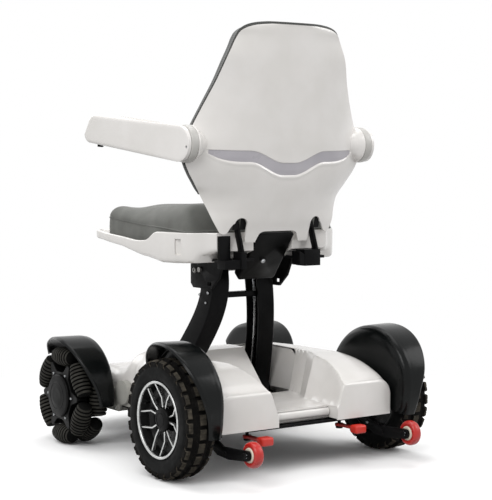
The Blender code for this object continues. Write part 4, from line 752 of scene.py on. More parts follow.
def omniRow(label, side, tag, x, turn):
    # Rollers evenly about the axle, and a star-shaped plate whose arms stand between them.
    body = "front_wheel_" + label
    angles = [2 * math.pi * k / omni["count"] + turn for k in range(omni["count"])]
    mesh = meshOf("omniRollers", [rollerGrid(a, x) for a in angles])
    addPiece("omniRollers_%s_%s" % (tag, label), mesh, (rollerRubber, grooveShadeRubber), body,
             ("omni_%s_row_%s" % (tag, label),), 40.0)
    # Faces sunk in the grooves are painted darker, as shade.
    mesh.polygons.foreach_set("material_index", inGroove(mesh, x, angles).astype(np.int32))
    half = omni["plate"] / 2
    plate = prism(starOutline(turn), x - half, x + half)
    roundEdges(addPiece("omniHub_%s_%s" % (tag, label), [plate], softBlack, body), 0.0012)
    if tag == "outer":
        arms = np.array(angles) + math.pi / omni["count"]
        places = np.stack((np.full(len(arms), x + side * half), omni["axleY"] + omni["hub"] * np.cos(arms),
                           omni["radius"] + omni["hub"] * np.sin(arms)), -1)
        addPiece("omniBolts_" + label, [boltHead(place, (side, 0, 0), 0.003, 0.003) for place in places],
                 zincSteel, body)


def omniCap(label, side):
    # A broad shallow dome with a raised rim over the hub's bolts.
    face = omni["track"] + omni["rowOffset"] + omni["plate"] / 2
    centre = (side * face, omni["axleY"], omni["radius"])
    dome = roundedLine(((0.0, 0.0098), (0.02, 0.0098), (0.029, 0.0086), (0.047, 0.007), (0.05, 0.0045),
                        (0.05, 0.0003), (0.0, 0.0003)), 0.0025, 4, False)
    ring = roundedLine(((0.0305, 0.0075), (0.0312, 0.009), (0.033, 0.0088), (0.0338, 0.0072)),
                       0.0007, 2, False)
    grids = [turnedGrid(dome, centre, side), turnedGrid(ring, centre, side, closed=True)]
    addPiece("omniCap_" + label, grids, softBlack, "front_wheel_" + label,
             ("omni_cap_" + label,))


for label, side in sides:
    omniRow(label, side, "outer", side * (omni["track"] + omni["rowOffset"]), math.radians(30))
    omniRow(label, side, "inner", side * (omni["track"] - omni["rowOffset"]), 0.0)
    omniCap(label, side)
print("front wheels made")


# Fenders: an arch over the wheel that turns down inside it round a soft corner

fenders = {
    "rear": {"axleY": -0.2345, "axleZ": 0.127, "inner": 0.2373, "bore": 0.04, "crease": 0.016,
             "stations": ((38, 0.153, 0.276), (60, 0.158, 0.3), (85, 0.162, 0.317), (128, 0.162, 0.316),
                          (150, 0.156, 0.302), (172, 0.142, 0.284), (192, 0.135, 0.276))},
    "front": {"axleY": 0.2345, "axleZ": 0.114, "inner": 0.2235, "bore": 0.03, "crease": 0.01,
              "stations": ((42, 0.133, 0.285), (62, 0.137, 0.305), (85, 0.139, 0.316), (130, 0.139, 0.31),
                           (150, 0.138, 0.296), (172, 0.136, 0.276), (186, 0.134, 0.268))},
    "wall": 0.0028,
}


def fender(which, label, side):
    # For each angle: out from the bore up the inner wall, round the corner, and level out to the lip.
    spec = fenders[which]
    degrees = np.linspace(spec["stations"][0][0], spec["stations"][-1][0], 76)
    inner = spec["inner"]
    crease = spec["crease"]
    rows = []
    for angle, radius, outer in zip(np.radians(degrees), *curved(spec["stations"], degrees)):
        line = roundedLine(((radius - 0.0045, outer), (radius, outer - 0.004), (radius, inner + 0.012),
                            (radius - 0.014, inner), (radius * 0.62, inner), (spec["bore"], inner)),
                           (0.001, 0.004, 0.018, 0.018, 0.004, 0.001), 7, False)
        sunk = 0.0011 * plateau(crease, crease + 0.003, crease + 0.022, crease + 0.026, line[:, 1] - inner)
        reach = line[:, 0] - sunk * (line[:, 0] > radius - 0.004)
        rows.append(np.stack((side * line[:, 1], spec["axleY"] + reach * math.cos(angle),
                              spec["axleZ"] + reach * math.sin(angle)), -1))
    sheet = [(np.stack(rows), False, False, False)]
    piece = addPiece("%sFender_%s" % (which, label), sheet, fenderBlack, "base",
                     ("%s_fender_%s" % (which, label),))
    thicken(piece, fenders["wall"], (side * inner, spec["axleY"], spec["axleZ"]), 50.0)


for label, side in sides:
    fender("rear", label, side)
    fender("front", label, side)
print("fenders made")


# Base cover: humps over the motors, a valley for the folding seat, a lower nose

cover = {
    "low": 0.101, "rearY": -0.334, "frontY": 0.29, "wall": 0.0035, "floor": 0.13, "top": 0.226,
    # y, half width, height, shoulder radius
    "stations": ((-0.334, 0.232, 0.18, 0.034), (-0.32, 0.2335, 0.187, 0.038), (-0.299, 0.234, 0.198, 0.042),
                 (-0.255, 0.234, 0.216, 0.047), (-0.2, 0.234, 0.226, 0.05), (-0.1, 0.232, 0.227, 0.05),
                 (0.0, 0.224, 0.227, 0.05), (0.052, 0.205, 0.227, 0.048), (0.078, 0.205, 0.224, 0.046),
                 (0.115, 0.205, 0.196, 0.04), (0.15, 0.205, 0.182, 0.036), (0.24, 0.205, 0.178, 0.036),
                 (0.274, 0.201, 0.166, 0.036), (0.29, 0.189, 0.146, 0.03)),
    # y, half width at the foot, half width at the top, floor height
    "valley": ((-0.354, 0.08, 0.112, 0.13), (-0.2, 0.088, 0.116, 0.13), (-0.15, 0.114, 0.136, 0.13),
               (-0.09, 0.126, 0.146, 0.13), (0.0, 0.116, 0.142, 0.222)),
    "trough": (0.062, 0.146, -0.092, 0.082),     # x inner and outer, y rear and front of a leg's bay
    "foot": 0.006, "rim": 0.011,                 # how softly the valley's walls meet its floor and the top
    "end": (-0.002, 0.01),                      # the valley runs out between these y
    "roll": 0.007,                               # radius of the rear edge
}


def coverPoints():
    # Outer ring: upright side, round shoulder, level top. The valley is the lower of that top and its walls.
    ys = np.concatenate((np.linspace(-0.334, -0.05, 92), np.linspace(-0.045, 0.29, 72)[1:]))
    half, top, shoulder = curved(cover["stations"], ys)[..., None]
    low = cover["low"]
    side = np.linspace(0, 1, 9)[None, :-1]
    bend = np.linspace(0, np.pi / 2, 15)[None, :]
    level = np.linspace(0, 1, 57)[None, 1:]
    x = np.hstack((half + 0 * side, half - shoulder + shoulder * np.cos(bend),
                   (half - shoulder) * (1 - level)))
    z = np.hstack((low + (top - shoulder - low) * side, top - shoulder + shoulder * np.sin(bend),
                   top + 0 * level))
    x = np.hstack((x, -x[:, -2::-1]))
    z = np.hstack((z, z[:, -2::-1]))
    foot, edge, floor = (column[:, None] for column in straight(cover["valley"], ys))
    wall = (np.abs(x) - foot) * (cover["top"] - cover["floor"]) / (edge - foot)
    valley = floor + 0.5 * (wall + np.sqrt(wall ** 2 + cover["foot"] ** 2)) - 0.001
    valley = valley + 0.2 * smoothStep(*cover["end"], ys)[:, None]
    z = np.minimum(z, softMin(z, valley, cover["rim"]))
    return np.stack((x, np.broadcast_to(ys[:, None], x.shape), z), -1)


def baseCover():
    # The sheet of coverPoints and its rolled rear edge, with openings for the battery and the legs.
    points = coverPoints()
    roll = cover["roll"]
    rounds = []
    for turn in np.linspace(np.pi / 2, 0, 7)[:-1]:
        # The rear edge rolls down and in.
        ring = points[0].copy()
        drop = roll * (1 - math.cos(turn))
        ring[:, 1] = cover["rearY"] + roll * (1 - math.sin(turn))
        ring[:, 2] = np.maximum(cover["low"], ring[:, 2] - drop)
        ring[:, 0] -= np.sign(ring[:, 0]) * drop * smoothStep(0.16, 0.225, np.abs(ring[:, 0]))
        rounds.append(ring)
    points[..., 1] += roll * (1 - smoothStep(cover["rearY"], -0.3, points[..., 1]))
    grid = np.concatenate((np.stack(rounds), points))
    sheet = [(grid, False, False, True)]
    piece = addPiece("baseCover", sheet, glossWhite, "base", ("base_cover",))
    thicken(piece, cover["wall"], (0, 0, 0))
    recess = prism(((-0.36, 0.08), (-0.299, 0.08), (-0.299, 0.15), (-0.36, 0.15)), -0.079, 0.079)
    carve(piece, [recess] + [prism(bayOutline(side, 0.0), 0.08, 0.26, 2) for side in (-1, 1)], 38.0)
    return points


def bayOutline(side, grow):
    # A rounded rectangle, grown on all sides.
    inner, outer, rear, front = np.array(cover["trough"]) + np.array((-1, 1, -1, 1)) * grow
    a, b = sorted((side * inner, side * outer))
    return roundedLine(((a, rear), (b, rear), (b, front), (a, front)), 0.006 + grow)


def bayWalls(points):
    # Upright walls round each leg's bay: a ring between two outlines, cut off under the cover's top.
    near = points[(points[:, 0, 1] > -0.125) & (points[:, 0, 1] < 0.11)]
    near = near[:, np.abs(near[0, :, 0]) < 0.18]
    lid = near[:, ::-1].copy()
    lid[..., 2] = 0.3
    under = near.copy()
    under[..., 2] -= 0.0016
    above = (np.concatenate((under, lid), axis=1), False, True, True)
    for label, side in sides:
        inside = np.insert(bayOutline(side, 0.0), 2, 0, axis=1)
        outside = np.insert(bayOutline(side, cover["wall"]), 2, 0, axis=1)
        ring = np.stack((inside, outside, outside, inside))
        ring[:, :, 2] = np.array((0.1265, 0.1265, 0.235, 0.235))[:, None]
        piece = addPiece("bayWalls_" + label, [(ring, True, True, False)], glossWhite, "base")
        carve(piece, [above], 38.0)


def rearRecess():
    # Cheeks beside the battery's end, its rolled white grip and the metal strip under that.
    cheek = ((-0.332, 0.103), (-0.2985, 0.103), (-0.2985, 0.128), (-0.332, 0.128))
    cheeks = [prism(cheek, *sorted((side * 0.0792, side * 0.0825))) for side in (-1, 1)]
    addPiece("recessCheeks", cheeks, glossWhite, "base")
    grip = roundedLine(((-0.2995, 0.1075), (-0.3055, 0.1085), (-0.3075, 0.117), (-0.305, 0.1245),
                        (-0.2995, 0.1255)), 0.004, 5)
    addPiece("batteryGrip", [prism(grip, -0.0765, 0.0765)], glossWhite, "battery")
    strip = roundedLine(((-0.2995, 0.103), (-0.302, 0.103), (-0.302, 0.1068), (-0.2995, 0.1068)), 0.0006, 3)
    addPiece("batteryStrip", [prism(strip, -0.077, 0.077)], greyTrim, "battery")


bayWalls(baseCover())
rearRecess()
print("base cover made")


# Backrest shell: a swept sheet, wrapped forwards at its sides, with a sunk light strip

back = {
    # z, half width, y at the middle, wrap forwards at the edge
    "rows": ((0.955, 0.06, -0.286, 0.004), (0.951, 0.098, -0.2855, 0.01), (0.942, 0.124, -0.285, 0.016),
             (0.925, 0.138, -0.284, 0.022), (0.885, 0.157, -0.282, 0.025), (0.835, 0.175, -0.279, 0.038),
             (0.785, 0.197, -0.275, 0.05), (0.737, 0.219, -0.271, 0.058), (0.7, 0.233, -0.268, 0.059),
             (0.672, 0.235, -0.265, 0.058), (0.645, 0.224, -0.262, 0.058), (0.616, 0.204, -0.256, 0.057),
             (0.587, 0.184, -0.248, 0.055), (0.56, 0.171, -0.24, 0.042), (0.535, 0.161, -0.232, 0.026),
             (0.512, 0.148, -0.2225, 0.013), (0.488, 0.13, -0.2155, 0.006)),
    "wall": 0.0042, "bend": 2.7,
    # how deep the strip is sunk, its half length, the bow's half width and the bow's flat bottom's
    "sink": 0.0022, "smileHalf": 0.196, "bow": 0.1, "flat": 0.014,
    # depth and height of the bead along the strip's lower edge
    "bead": 0.0013, "beadHeight": 0.003,
    "pivotY": -0.21, "pivotZ": 0.701, "ringInner": 0.224,
    # the strips' slots: their x, half width and the arch's middle
    "slot": (0.1, 0.015, 0.527),
    # y planes behind and before the sheet, and a point far in front of it
    "through": (-0.3, -0.15), "ahead": (0.0, 1.0, 0.66),
}


def backRow(z):
    # Half width, middle and wrap at a height.
    return straight(back["rows"][::-1], z)


def backAt(place, share, push=0.0):
    # place counts down the rows; y = middle + wrap x |share|^bend, set in by the push.
    rows = np.array(back["rows"])
    values = smoothCurve(np.arange(len(rows)), rows, place)
    z, half, middle, wrap = np.moveaxis(values, -1, 0)
    x = share * half
    return np.stack((x, middle + wrap * np.abs(share) ** back["bend"] + push, z + 0 * x), -1)


def smileEdges(x):
    # Lower and upper edge of the light strip: level arms that sink into a flat-bottomed bow.
    rise = smoothStep(back["flat"], back["bow"], np.abs(x))
    outside = np.clip((np.abs(x) - back["bow"]) / (back["smileHalf"] - back["bow"]), 0, 1)
    lower = 0.631 + 0.029 * rise + 0.024 * outside ** 3
    upper = 0.661 + 0.026 * rise + 0.002 * outside
    return lower, np.maximum(upper, lower + 0.002)


def placesOf(share, height):
    # For each column, the place down the rows where its z meets the wanted height(x).
    fine = np.linspace(0, 16, 3201)
    line = backAt(fine[:, None], share[None, :])
    gapTo = line[..., 2] - height(line[..., 0])
    below = np.argmax(gapTo < 0, axis=0)
    return fine[below]


def backGrid():
    # Rows run from the top down: above the strip, across its sunk face, and below it.
    even = np.linspace(-1, 1, 141)
    share = np.sin(even * np.pi / 2) * 0.35 + even * 0.65
    up = placesOf(share, lambda x: smileEdges(x)[1])
    low = placesOf(share, lambda x: smileEdges(x)[0])
    places = []
    across = []
    for start, end, count, inside in ((0 * up, up, 62, 0), (up, low, 18, 1), (low, 0 * low + 16, 60, 0)):
        t = np.linspace(0, 1, count, endpoint=inside == 0 and end is not up)[:, None]
        places.append(start + (end - start) * t)
        across.append(np.broadcast_to(t * inside - (1 - inside), (count, len(share))))
    points = backAt(np.concatenate(places), share[None, :])
    q = np.concatenate(across)
    depth = np.where(q >= 0, plateau(0.0, 0.07, 0.86, 1.0, q), 0.0)
    drop = smileEdges(points[..., 0])[0] - points[..., 2]
    bead = np.where(q < 0, np.exp(-((drop - back["beadHeight"]) / 0.0024) ** 2), 0.0) * (drop > 0)
    fade = 1 - smoothStep(back["smileHalf"] - 0.006, back["smileHalf"], np.abs(points[..., 0]))
    points[..., 1] += fade * (depth * back["sink"] - bead * back["bead"])
    return points


def backShell():
    # The sheet of backGrid with the hinge's notch, the strips' slots, the lobes and the pivot rings cut out.
    pivot = (back["pivotY"], back["pivotZ"])
    shell = [(backGrid(), False, False, False)]
    piece = addPiece("backShell", shell, glossWhite, "backrest", ("back_shell",))
    thicken(piece, back["wall"], back["ahead"])
    notch = roundedLine(((-0.062, 0.46), (-0.058, 0.49), (-0.05, 0.5075), (-0.04, 0.5115), (0.04, 0.5115),
                         (0.05, 0.5075), (0.058, 0.49), (0.062, 0.46)), 0.004, 3)
    lobe = np.array(((0.108, 0.46), (0.1145, 0.532), (0.1235, 0.522), (0.128, 0.512), (0.135, 0.507),
                     (0.143, 0.507), (0.152, 0.516), (0.2, 0.518), (0.2, 0.46)))
    x, half, z = back["slot"]
    arch = np.vstack(((-half, 0.4), arcOf(0, z, half, 180, 0, 15), (half, 0.4)))
    through = (*back["through"], 1)
    cuts = [prism(notch, *through)]
    for side in (-1, 1):
        cuts.append(prism(arch + (side * x, 0), *through))
        cuts.append(prism(roundedLine(lobe * (side, 1), 0.005, 5), *through))
        ring = back["ringInner"] - 0.0003
        cuts.append(rodAt((side * ring, *pivot), (side * 0.262, *pivot), 0.0403, 64))
    carve(piece, cuts, 40.0)
    socket = roundedLine(((0.0, -0.04), (0.018, -0.04), (0.03, -0.016), (0.0375, -0.006), (0.0398, -0.0035),
                          (0.0398, -0.0008), (0.0, -0.0008)), 0.0014, 3, False)
    line = ((-0.2198, 0.546), (-0.2178, 0.546), (-0.2118, 0.516), (-0.2138, 0.516))
    for label, side in sides:
        centre = (side * back["ringInner"], *pivot)
        addPiece("ringSeat_" + label, [turnedGrid(socket, centre, side)], glossWhite, "backrest")
        # Black sheets close the slot's arch on both sides of the strip: painted shadow, standing in for the
        # shaded backrest frame behind it.
        grids = [prism(line, *sorted((side * a, side * b))) for a, b in ((0.0835, 0.0966), (0.1034, 0.1165))]
        roundEdges(addPiece("slotPaintedShadow_" + label, grids, softBlack, "backrest"), 0.0006)


def lightStrip():
    # A thin satin lens that lies in the sunk smile.
    x = np.linspace(-back["smileHalf"] + 0.006, back["smileHalf"] - 0.006, 161)
    lower, upper = smileEdges(x)
    z = upper + (lower - upper) * np.linspace(0.04, 0.9, 15)[:, None]
    half, middle, wrap = backRow(z)
    y = middle + wrap * (np.abs(x) / half) ** back["bend"] + back["sink"] - 0.0009
    lens = [(np.stack((np.broadcast_to(x, z.shape), y, z), -1), False, False, False)]
    piece = addPiece("lightStrip", lens, lensGrey, "backrest", ("light_strip",))
    thicken(piece, 0.001, back["ahead"], 40.0)


backShell()
lightStrip()
print("backrest shell made")


# Seat shell: a tray whose rim dips beside the cushion's front and whose bellies hang lower at the sides

seat = {
    # y, half width, rim height, underside at the sides
    "stations": ((-0.2, 0.148, 0.51, 0.4695), (-0.182, 0.166, 0.51, 0.4635), (-0.1725, 0.182, 0.51, 0.46),
                 (-0.168, 0.189, 0.51, 0.4445),
                 (-0.12, 0.212, 0.51, 0.4425), (-0.08, 0.22, 0.51, 0.4425), (-0.062, 0.22, 0.509, 0.4455),
                 (-0.02, 0.22, 0.49, 0.4515), (0.0, 0.22, 0.488, 0.4528), (0.09, 0.22, 0.493, 0.47),
                 (0.18, 0.218, 0.5, 0.48), (0.225, 0.207, 0.5035, 0.483), (0.244, 0.186, 0.5035, 0.4865)),
    "floor": 0.005, "tray": 0.4528, "rimWidth": 0.008,
}


def seatShell():
    # Cross-section: flat floor, belly, rounded side, narrow rim, then down inside to the well.
    rear, front = seat["stations"][0][0], seat["stations"][-1][0]
    ys = np.concatenate((np.linspace(rear, -0.17, 9)[:-1], np.linspace(-0.17, 0.21, 96),
                         np.linspace(0.21, front, 14)[1:]))
    half, top, _ = curved(seat["stations"], ys)
    low = straight(seat["stations"], ys)[2]
    rows = []
    for y, h, t, lo in zip(ys, half, top, low):
        floor = max(lo, seat["tray"])
        inside = floor + seat["floor"]
        # The well's end walls run up over 12 mm at the rear and 22 mm at the front.
        end = min(1.0, (y - rear) / 0.012, (front - y) / 0.022)
        well = t - (t - inside) * smoothStep(0.15, 1.0, end)
        drop = min(0.012, (t - lo) * 0.42)
        right = ((0.0, floor), (0.138 * h / 0.22, floor), (0.15 * h / 0.22, lo), (h - 0.001, lo),
                 (h, (lo + t) / 2), (h, t), (h - seat["rimWidth"], t), (h - seat["rimWidth"] - 0.003, well),
                 (h * 0.5, well), (0.0, well))
        radii = (0.001, 0.004, 0.004, drop, 0.004, 0.0035, 0.003, 0.004, 0.004, 0.001)
        line = roundedLine(right, radii, 5, False)
        ring = np.vstack((line, line[::-1] * (-1, 1)))
        rows.append(np.insert(ring, 1, y, axis=1))
    grids = [(np.stack(rows), False, True, True)]
    piece = addPiece("seatShell", grids, glossWhite, "seat", ("seat_shell",))
    cuts = [prism(((-0.25, 0.4), (-0.129, 0.4), (-0.129, 0.53), (-0.25, 0.53)), -0.052, 0.052)]
    # The shallow finger recess near the back of each side, 2 mm deep along the slanting wall.
    recess = np.array(((0.1974, -0.147), (0.2062, -0.128), (0.23, -0.128), (0.23, -0.147)))
    cuts += [prism(recess * (side, 1), 0.461, 0.4965, 2) for side in (-1, 1)]
    carve(piece, cuts, 38.0)


seatShell()
print("seat shell made")


# Armrests: rounded boxes, deep at the pivot and tapering to a round front

arm = {"pivotY": -0.21, "pivotZ": 0.701, "length": 0.338, "tilt": math.radians(6.8),
       "rear": 0.038, "front": 0.033, "inner": 0.2415, "width": 0.055, "soft": 0.008,
       # distance ahead of the pivot, and how deep the outer face lies there
       "taper": ((-0.038, 0.0465), (0.335, 0.0)),
       # the pad's ends, and its distances from the inner and the outer face
       "pad": (0.08, 0.2285, 0.004, 0.006)}


def armToWorld(local):
    # Turns (along, up) points about the pivot by the armrest's tilt.
    c, s = math.cos(arm["tilt"]), math.sin(arm["tilt"])
    a, b = local[..., 0], local[..., 1]
    return np.stack((arm["pivotY"] + a * c - b * s, arm["pivotZ"] + a * s + b * c), -1)


def armDepth(along):
    return straight(arm["taper"], along)[0]


def padPlan(side, inset, count, up):
    # Points (side x, y, z) round the pad's plan at one height: its outer edge follows the tapering face.
    a = np.array((arm["pad"][0] + inset, arm["pad"][1] - inset))
    inner = arm["inner"] + arm["pad"][2] + inset
    outer = arm["inner"] + arm["width"] - armDepth(a) - arm["pad"][3] - inset
    line = roundedLine(((inner, a[0]), (outer[0], a[0]), (outer[1], a[1]), (inner, a[1])), 0.004, 8)
    line = alongLine(np.vstack((line, line[:1])), count + 1)[:-1]
    placed = armToWorld(np.stack((line[:, 1], np.full(count, up)), -1))
    return np.insert(placed, 0, side * line[:, 0], axis=1)


def armOutline(grow):
    # Half a circle at the pivot, straight lines, and two arcs round the tip, all grown by the same width.
    rear = arm["rear"] + grow
    front = arm["front"] + grow
    length = arm["length"] + grow
    end = arcOf(0, 0, rear, 90, 270, 37)
    tip = np.concatenate((arcOf(length - front * 0.55 - 0.004, -front * 0.42, front * 0.58, -90, -10, 15),
                          arcOf(length - front * 0.72 - 0.016, front * 0.28, front * 0.72, 15, 90, 15)))
    t = np.linspace(0, 1, 26)[1:-1, None]
    under, over = end[-1] + (tip[0] - end[-1]) * t, tip[-1] + (end[0] - tip[-1]) * t
    return armToWorld(np.concatenate((end, under, tip, over)))


def armrest(label, side):
    # Outlines shrink by 1 - cos as x closes on each face by 1 - sin: a quarter-round edge. Then the depth
    # over the inner face is scaled along the arm, so that the outer face runs in towards the pivot.
    inner = arm["inner"]
    outer = inner + arm["width"]
    quarter = np.linspace(0, np.pi / 2, 8)
    steps = [(inner + 0.006 * (1 - math.sin(t)), 0.006 * (1 - math.cos(t))) for t in quarter[::-1]]
    steps += [(x, 0.0) for x in np.linspace(inner + 0.0075, outer - arm["soft"] - 0.0015, 16)]
    steps += [(outer - arm["soft"] * (1 - math.sin(t)), arm["soft"] * (1 - math.cos(t))) for t in quarter]
    steps += [(outer, arm["soft"] + more) for more in (0.004, 0.01, 0.016, 0.021)]
    grid = np.stack([np.insert(armOutline(-shrink), 0, x, axis=1) for x, shrink in steps])
    ahead, up = grid[..., 1] - arm["pivotY"], grid[..., 2] - arm["pivotZ"]
    along = ahead * math.cos(arm["tilt"]) + up * math.sin(arm["tilt"])
    grid[..., 0] = side * (inner + (grid[..., 0] - inner) * (1 - armDepth(along) / arm["width"]))
    body = "armrest_" + label
    form = [(grid, False, True, True)]
    piece = addPiece("armrest_%s_shell" % label, form, glossWhite, body, (body,))
    top = arm["rear"] - 0.0035
    facing = np.array((side * 0.98, -0.2, 0.0))
    spot = np.array((side * 0.251, -0.2408, 0.6935))
    cuts = [(np.stack([padPlan(side, 0, 80, top + up) for up in (-0.0085, 0.03)]), False, True, True),
            rodAt(spot - facing * 0.004, spot + facing * 0.02, 0.0034)]
    if side > 0:
        low = arm["front"] - 0.0005
        a0 = arm["length"] - 0.1105
        deck = np.array(((a0, low), (a0 + 0.066, low), (a0 + 0.066, low + 0.03), (a0, low + 0.03)))
        cuts.append(prism(armToWorld(deck), inner - 0.01, outer + 0.01))
    carve(piece, cuts, 45.0)
    head = boltHead(spot - facing * 0.0038, facing, 0.0031, 0.002)
    addPiece("armScrew_" + label, [head], zincSteel, body)


for label, side in sides:
    armrest(label, side)
print("armrests made")


# Legs: open channels carried along a curve that leans in and back

legs = {"foot": (0.115, 0.03, 0.125), "low": (0.09, -0.022, 0.25), "high": (0.068, -0.056, 0.335),
        "head": (0.06, -0.055, 0.42), "width": 0.045, "wall": 0.005,
        "depth": ((0.0, 0.047), (0.25, 0.054), (0.6, 0.054), (1.0, 0.05))}


def legLine(count):
    # Cubic through the two pivots and two bends, knots at chord length.
    points = np.array([legs[k] for k in ("foot", "low", "high", "head")])
    knots = runOf(points)
    places = np.linspace(0, knots[-1], count)
    weights = [np.prod([(places - knots[m]) / (knots[k] - knots[m]) for m in range(4) if m != k], axis=0)
               for k in range(4)]
    return np.stack(weights, -1) @ points


def leg(label, side):
    # An open channel's section carried along the leg's line, with a disc and a pin's stub at each pivot.
    path = legLine(49)
    ahead = np.gradient(path, axis=0)
    ahead[:, 0] = 0
    ahead /= np.linalg.norm(ahead, axis=1, keepdims=True)
    rear = np.stack((0 * ahead[:, 0], -ahead[:, 2], ahead[:, 1]), -1)
    depth = curved(legs["depth"], np.linspace(0, 1, len(path)))[0]
    rows = []
    w, t = legs["width"] / 2, legs["wall"]
    for point, back_, d in zip(path, rear, depth / 2):
        section = roundedLine(((w, -d), (w, d), (-w, d), (-w, d - t), (w - t, d - t), (w - t, -d + t),
                               (-w, -d + t), (-w, -d)), (0.004,) * 2 + (0.002,) * 6, 3)
        rows.append(np.stack((side * (point[0] + section[:, 0]), point[1] + back_[1] * section[:, 1],
                              point[2] + back_[2] * section[:, 1]), -1))
    grids = [(np.stack(rows), False, True, True)]
    for key, radius in (("foot", 0.0235), ("head", 0.022)):
        x, *pivot = legs[key]
        grids.append(rodAt((side * (x + w - 0.005), *pivot), (side * (x + w), *pivot), radius, 48, 0.0012))
        grids.append(rodAt((side * (x + 0.002), *pivot), (side * (x + w - 0.001), *pivot), 0.0085, 24))
    addPiece("leg_%s_channel" % label, grids, steelBlack, "legs", ("leg_" + label,))


for label, side in sides:
    leg(label, side)
print("legs made")


# Anti-tip wheels: red tyres on cream hubs with a dark bearing and a plated nut

tip = {"radius": 0.027, "width": 0.022, "x": 0.209, "y": -0.424, "z": 0.073}


def tipWheel(label, side):
    # Profiles are mirrored about the wheel's middle plane.
    centre = (side * tip["x"], tip["y"], tip["z"])
    h = tip["width"] / 2
    r = tip["radius"]
    body = "anti_tip_wheel_" + label
    for name, outer, radius, fine, steps, material, stands in (
            ("tipTyre", ((0.015, h - 0.001), (r - 0.004, h), (r, h - 0.005)),
             0.0045, 6, 72, tyreRed, (body,)),
            ("tipHub", ((0.0095, h + 0.0002), (0.0145, h + 0.0006), (0.0156, h - 0.001)),
             0.0008, 3, 56, hubCream, ()),
            ("tipBearing", ((0.0046, h), (0.0096, h + 0.0004)), 0.0004, 2, 40, softBlack, ())):
        line = roundedLine(outer + tuple((reach, -x) for reach, x in outer[::-1]), radius, fine)
        addPiece(name + "_" + label, [turnedGrid(line, centre, 1, steps, True)], material, body,
                 stands)
    x = centre[0] - h - 0.0072
    nuts = [boltHead((x, centre[1], centre[2]), (-1, 0, 0), 0.0062, 0.005),
            boltHead((x, -0.3, 0.08), (-1, 0, 0), 0.0032, 0.003)]
    addPiece("tipNuts_" + label, nuts, zincSteel, "base")


for label, side in sides:
    tipWheel(label, side)
print("anti-tip wheels made")


# Brackets, covers and small parts that keep the CAD form with eased edges

for name, node, width, material, slot in (
        ("seatCarrier", "seat_carrier", 0.0014, steelBlack, "black_steel"),
        ("hingeHousing", "hinge_housing", 0.003, softBlack, "black_abs"),
        ("backFrame", "back_frame", 0.001, steelBlack, "black_steel"),
        ("crossBar", "leg_cross_bar", 0.0012, steelBlack, "black_steel"),
        ("chassis", "chassis_frame", 0.0008, steelBlack, "black_steel"),
        ("batteryPack", "battery_pack", 0.0012, glossWhite, "white_abs"),
        ("footplatePanel", "footplate", 0.001, softBlack, "black_abs"),
        ("footplateBracket", "footplate_bracket", 0.001, steelBlack, "black_steel"),
        ("stickHousing", "joystick_housing", 0.001, softBlack, "black_abs"),
        ("powerButton", "power_button", 0.0003, leverRed, "red_plastic"),
        ("armFoot", "armrest_foot_left", 0.0006, softBlack, "dark_cloth")):
    softened(name, node, width, material)
for label, side in sides:
    for name, node, width, material, slot in (
            ("backStrip", "back_strip", 0.0008, steelBlack, "black_steel"),
            ("frontBracket", "front_bracket", 0.0012, bracketGrey, "black_steel"),
            ("tipArm", "anti_tip_arm", 0.0008, steelBlack, "black_steel"),
            ("freewheelLever", "freewheel_lever", 0.001, leverRed, "red_plastic"),
            ("armRing", "arm_ring", 0.0008, ringGrey, "ring_grey")):
        piece = softened(name + "_" + label, node + "_" + label, width, material)
        if name == "armRing":
            # Its stub ends inside the armrest's tapering end.
            points = readVectors(piece.data.vertices, "co")
            points[:, 0] = np.clip(points[:, 0], -0.2515, 0.2515)
            movePoints(piece.data, points)

for node, material in (("leg_base_shaft", zincSteel), ("leg_top_shaft", greyTrim),
                       ("back_hinge_shaft", zincSteel),
                       ("guide_rod_left", zincSteel), ("guide_rod_right", zincSteel),
                       ("rear_motor_left", steelBlack), ("rear_motor_right", steelBlack),
                       ("front_motor_left", motorGrey), ("front_motor_right", motorGrey),
                       ("joystick_gimbal", softBlack), ("joystick_stick", softBlack)):
    nodes[node].data.materials.clear()
    nodes[node].data.materials.append(material)
print("brackets and small parts made")


# Small hardware placed from the photograph on the pieces that carry it

def hardware():
    # Bolt heads on both sides, a stop web under the seat and the hinge housing's bolt.
    grids = {"seatBolts": [], "legBolts": [], "bracketBolts": []}
    for side in (-1, 1):
        facing = (side, 0, 0)
        grids["seatBolts"].append(boltHead((side * 0.0965, -0.032, 0.4177), facing, 0.0065, 0.004))
        for y, z, size in ((-0.072, 0.368, 0.0036), (-0.038, 0.362, 0.003), (-0.066, 0.345, 0.0028)):
            face = np.interp(z, (0.335, 0.42), (0.068, 0.06)) + legs["width"] / 2
            grids["legBolts"].append(boltHead((side * face, y, z), facing, size, 0.002))
        for y in (0.126, 0.148, 0.178):
            grids["bracketBolts"].append(boltHead((side * 0.2125, y, 0.092), facing, 0.005, 0.005, 6))
    grids["housingBolt"] = [boltHead((-0.0125, -0.18, 0.444), (0, -0.8, -0.6), 0.0052, 0.0035)]
    web = ((0.05, 0.4345), (0.095, 0.4345), (0.095, 0.44), (0.05, 0.466))
    grids["stopWeb"] = [prism(web, -0.2335, -0.203, 1)]
    for name, material, body, slot in (("seatBolts", greyTrim, "seat", "zinc_steel"),
                                       ("stopWeb", steelBlack, "seat", "black_steel"),
                                       ("legBolts", zincSteel, "legs", "zinc_steel"),
                                       ("bracketBolts", zincSteel, "base", "zinc_steel"),
                                       ("housingBolt", zincSteel, "seat", "zinc_steel")):
        piece = addPiece(name, grids[name], material, body)
        if name == "stopWeb":
            roundEdges(piece, 0.0015)


hardware()
print("hardware made")


# Cushions: the CAD form drawn in and filled by cloth pressure; the seat's sewn cord is built into its form

padding = {
    "pressure": 4.0, "frames": 20,
    "seat": {"corner": 0.017, "roll": 0.052, "rise": (0.054, 0.029), "inside": 0.05,
             "dip": 0.01, "dipAt": 0.2, "dipWide": 0.036, "lift": 0.004},
    "back": {"grow": 0.0018, "over": 0.0058, "edge": 0.012, "inside": 0.045, "lowest": 11.9},
}


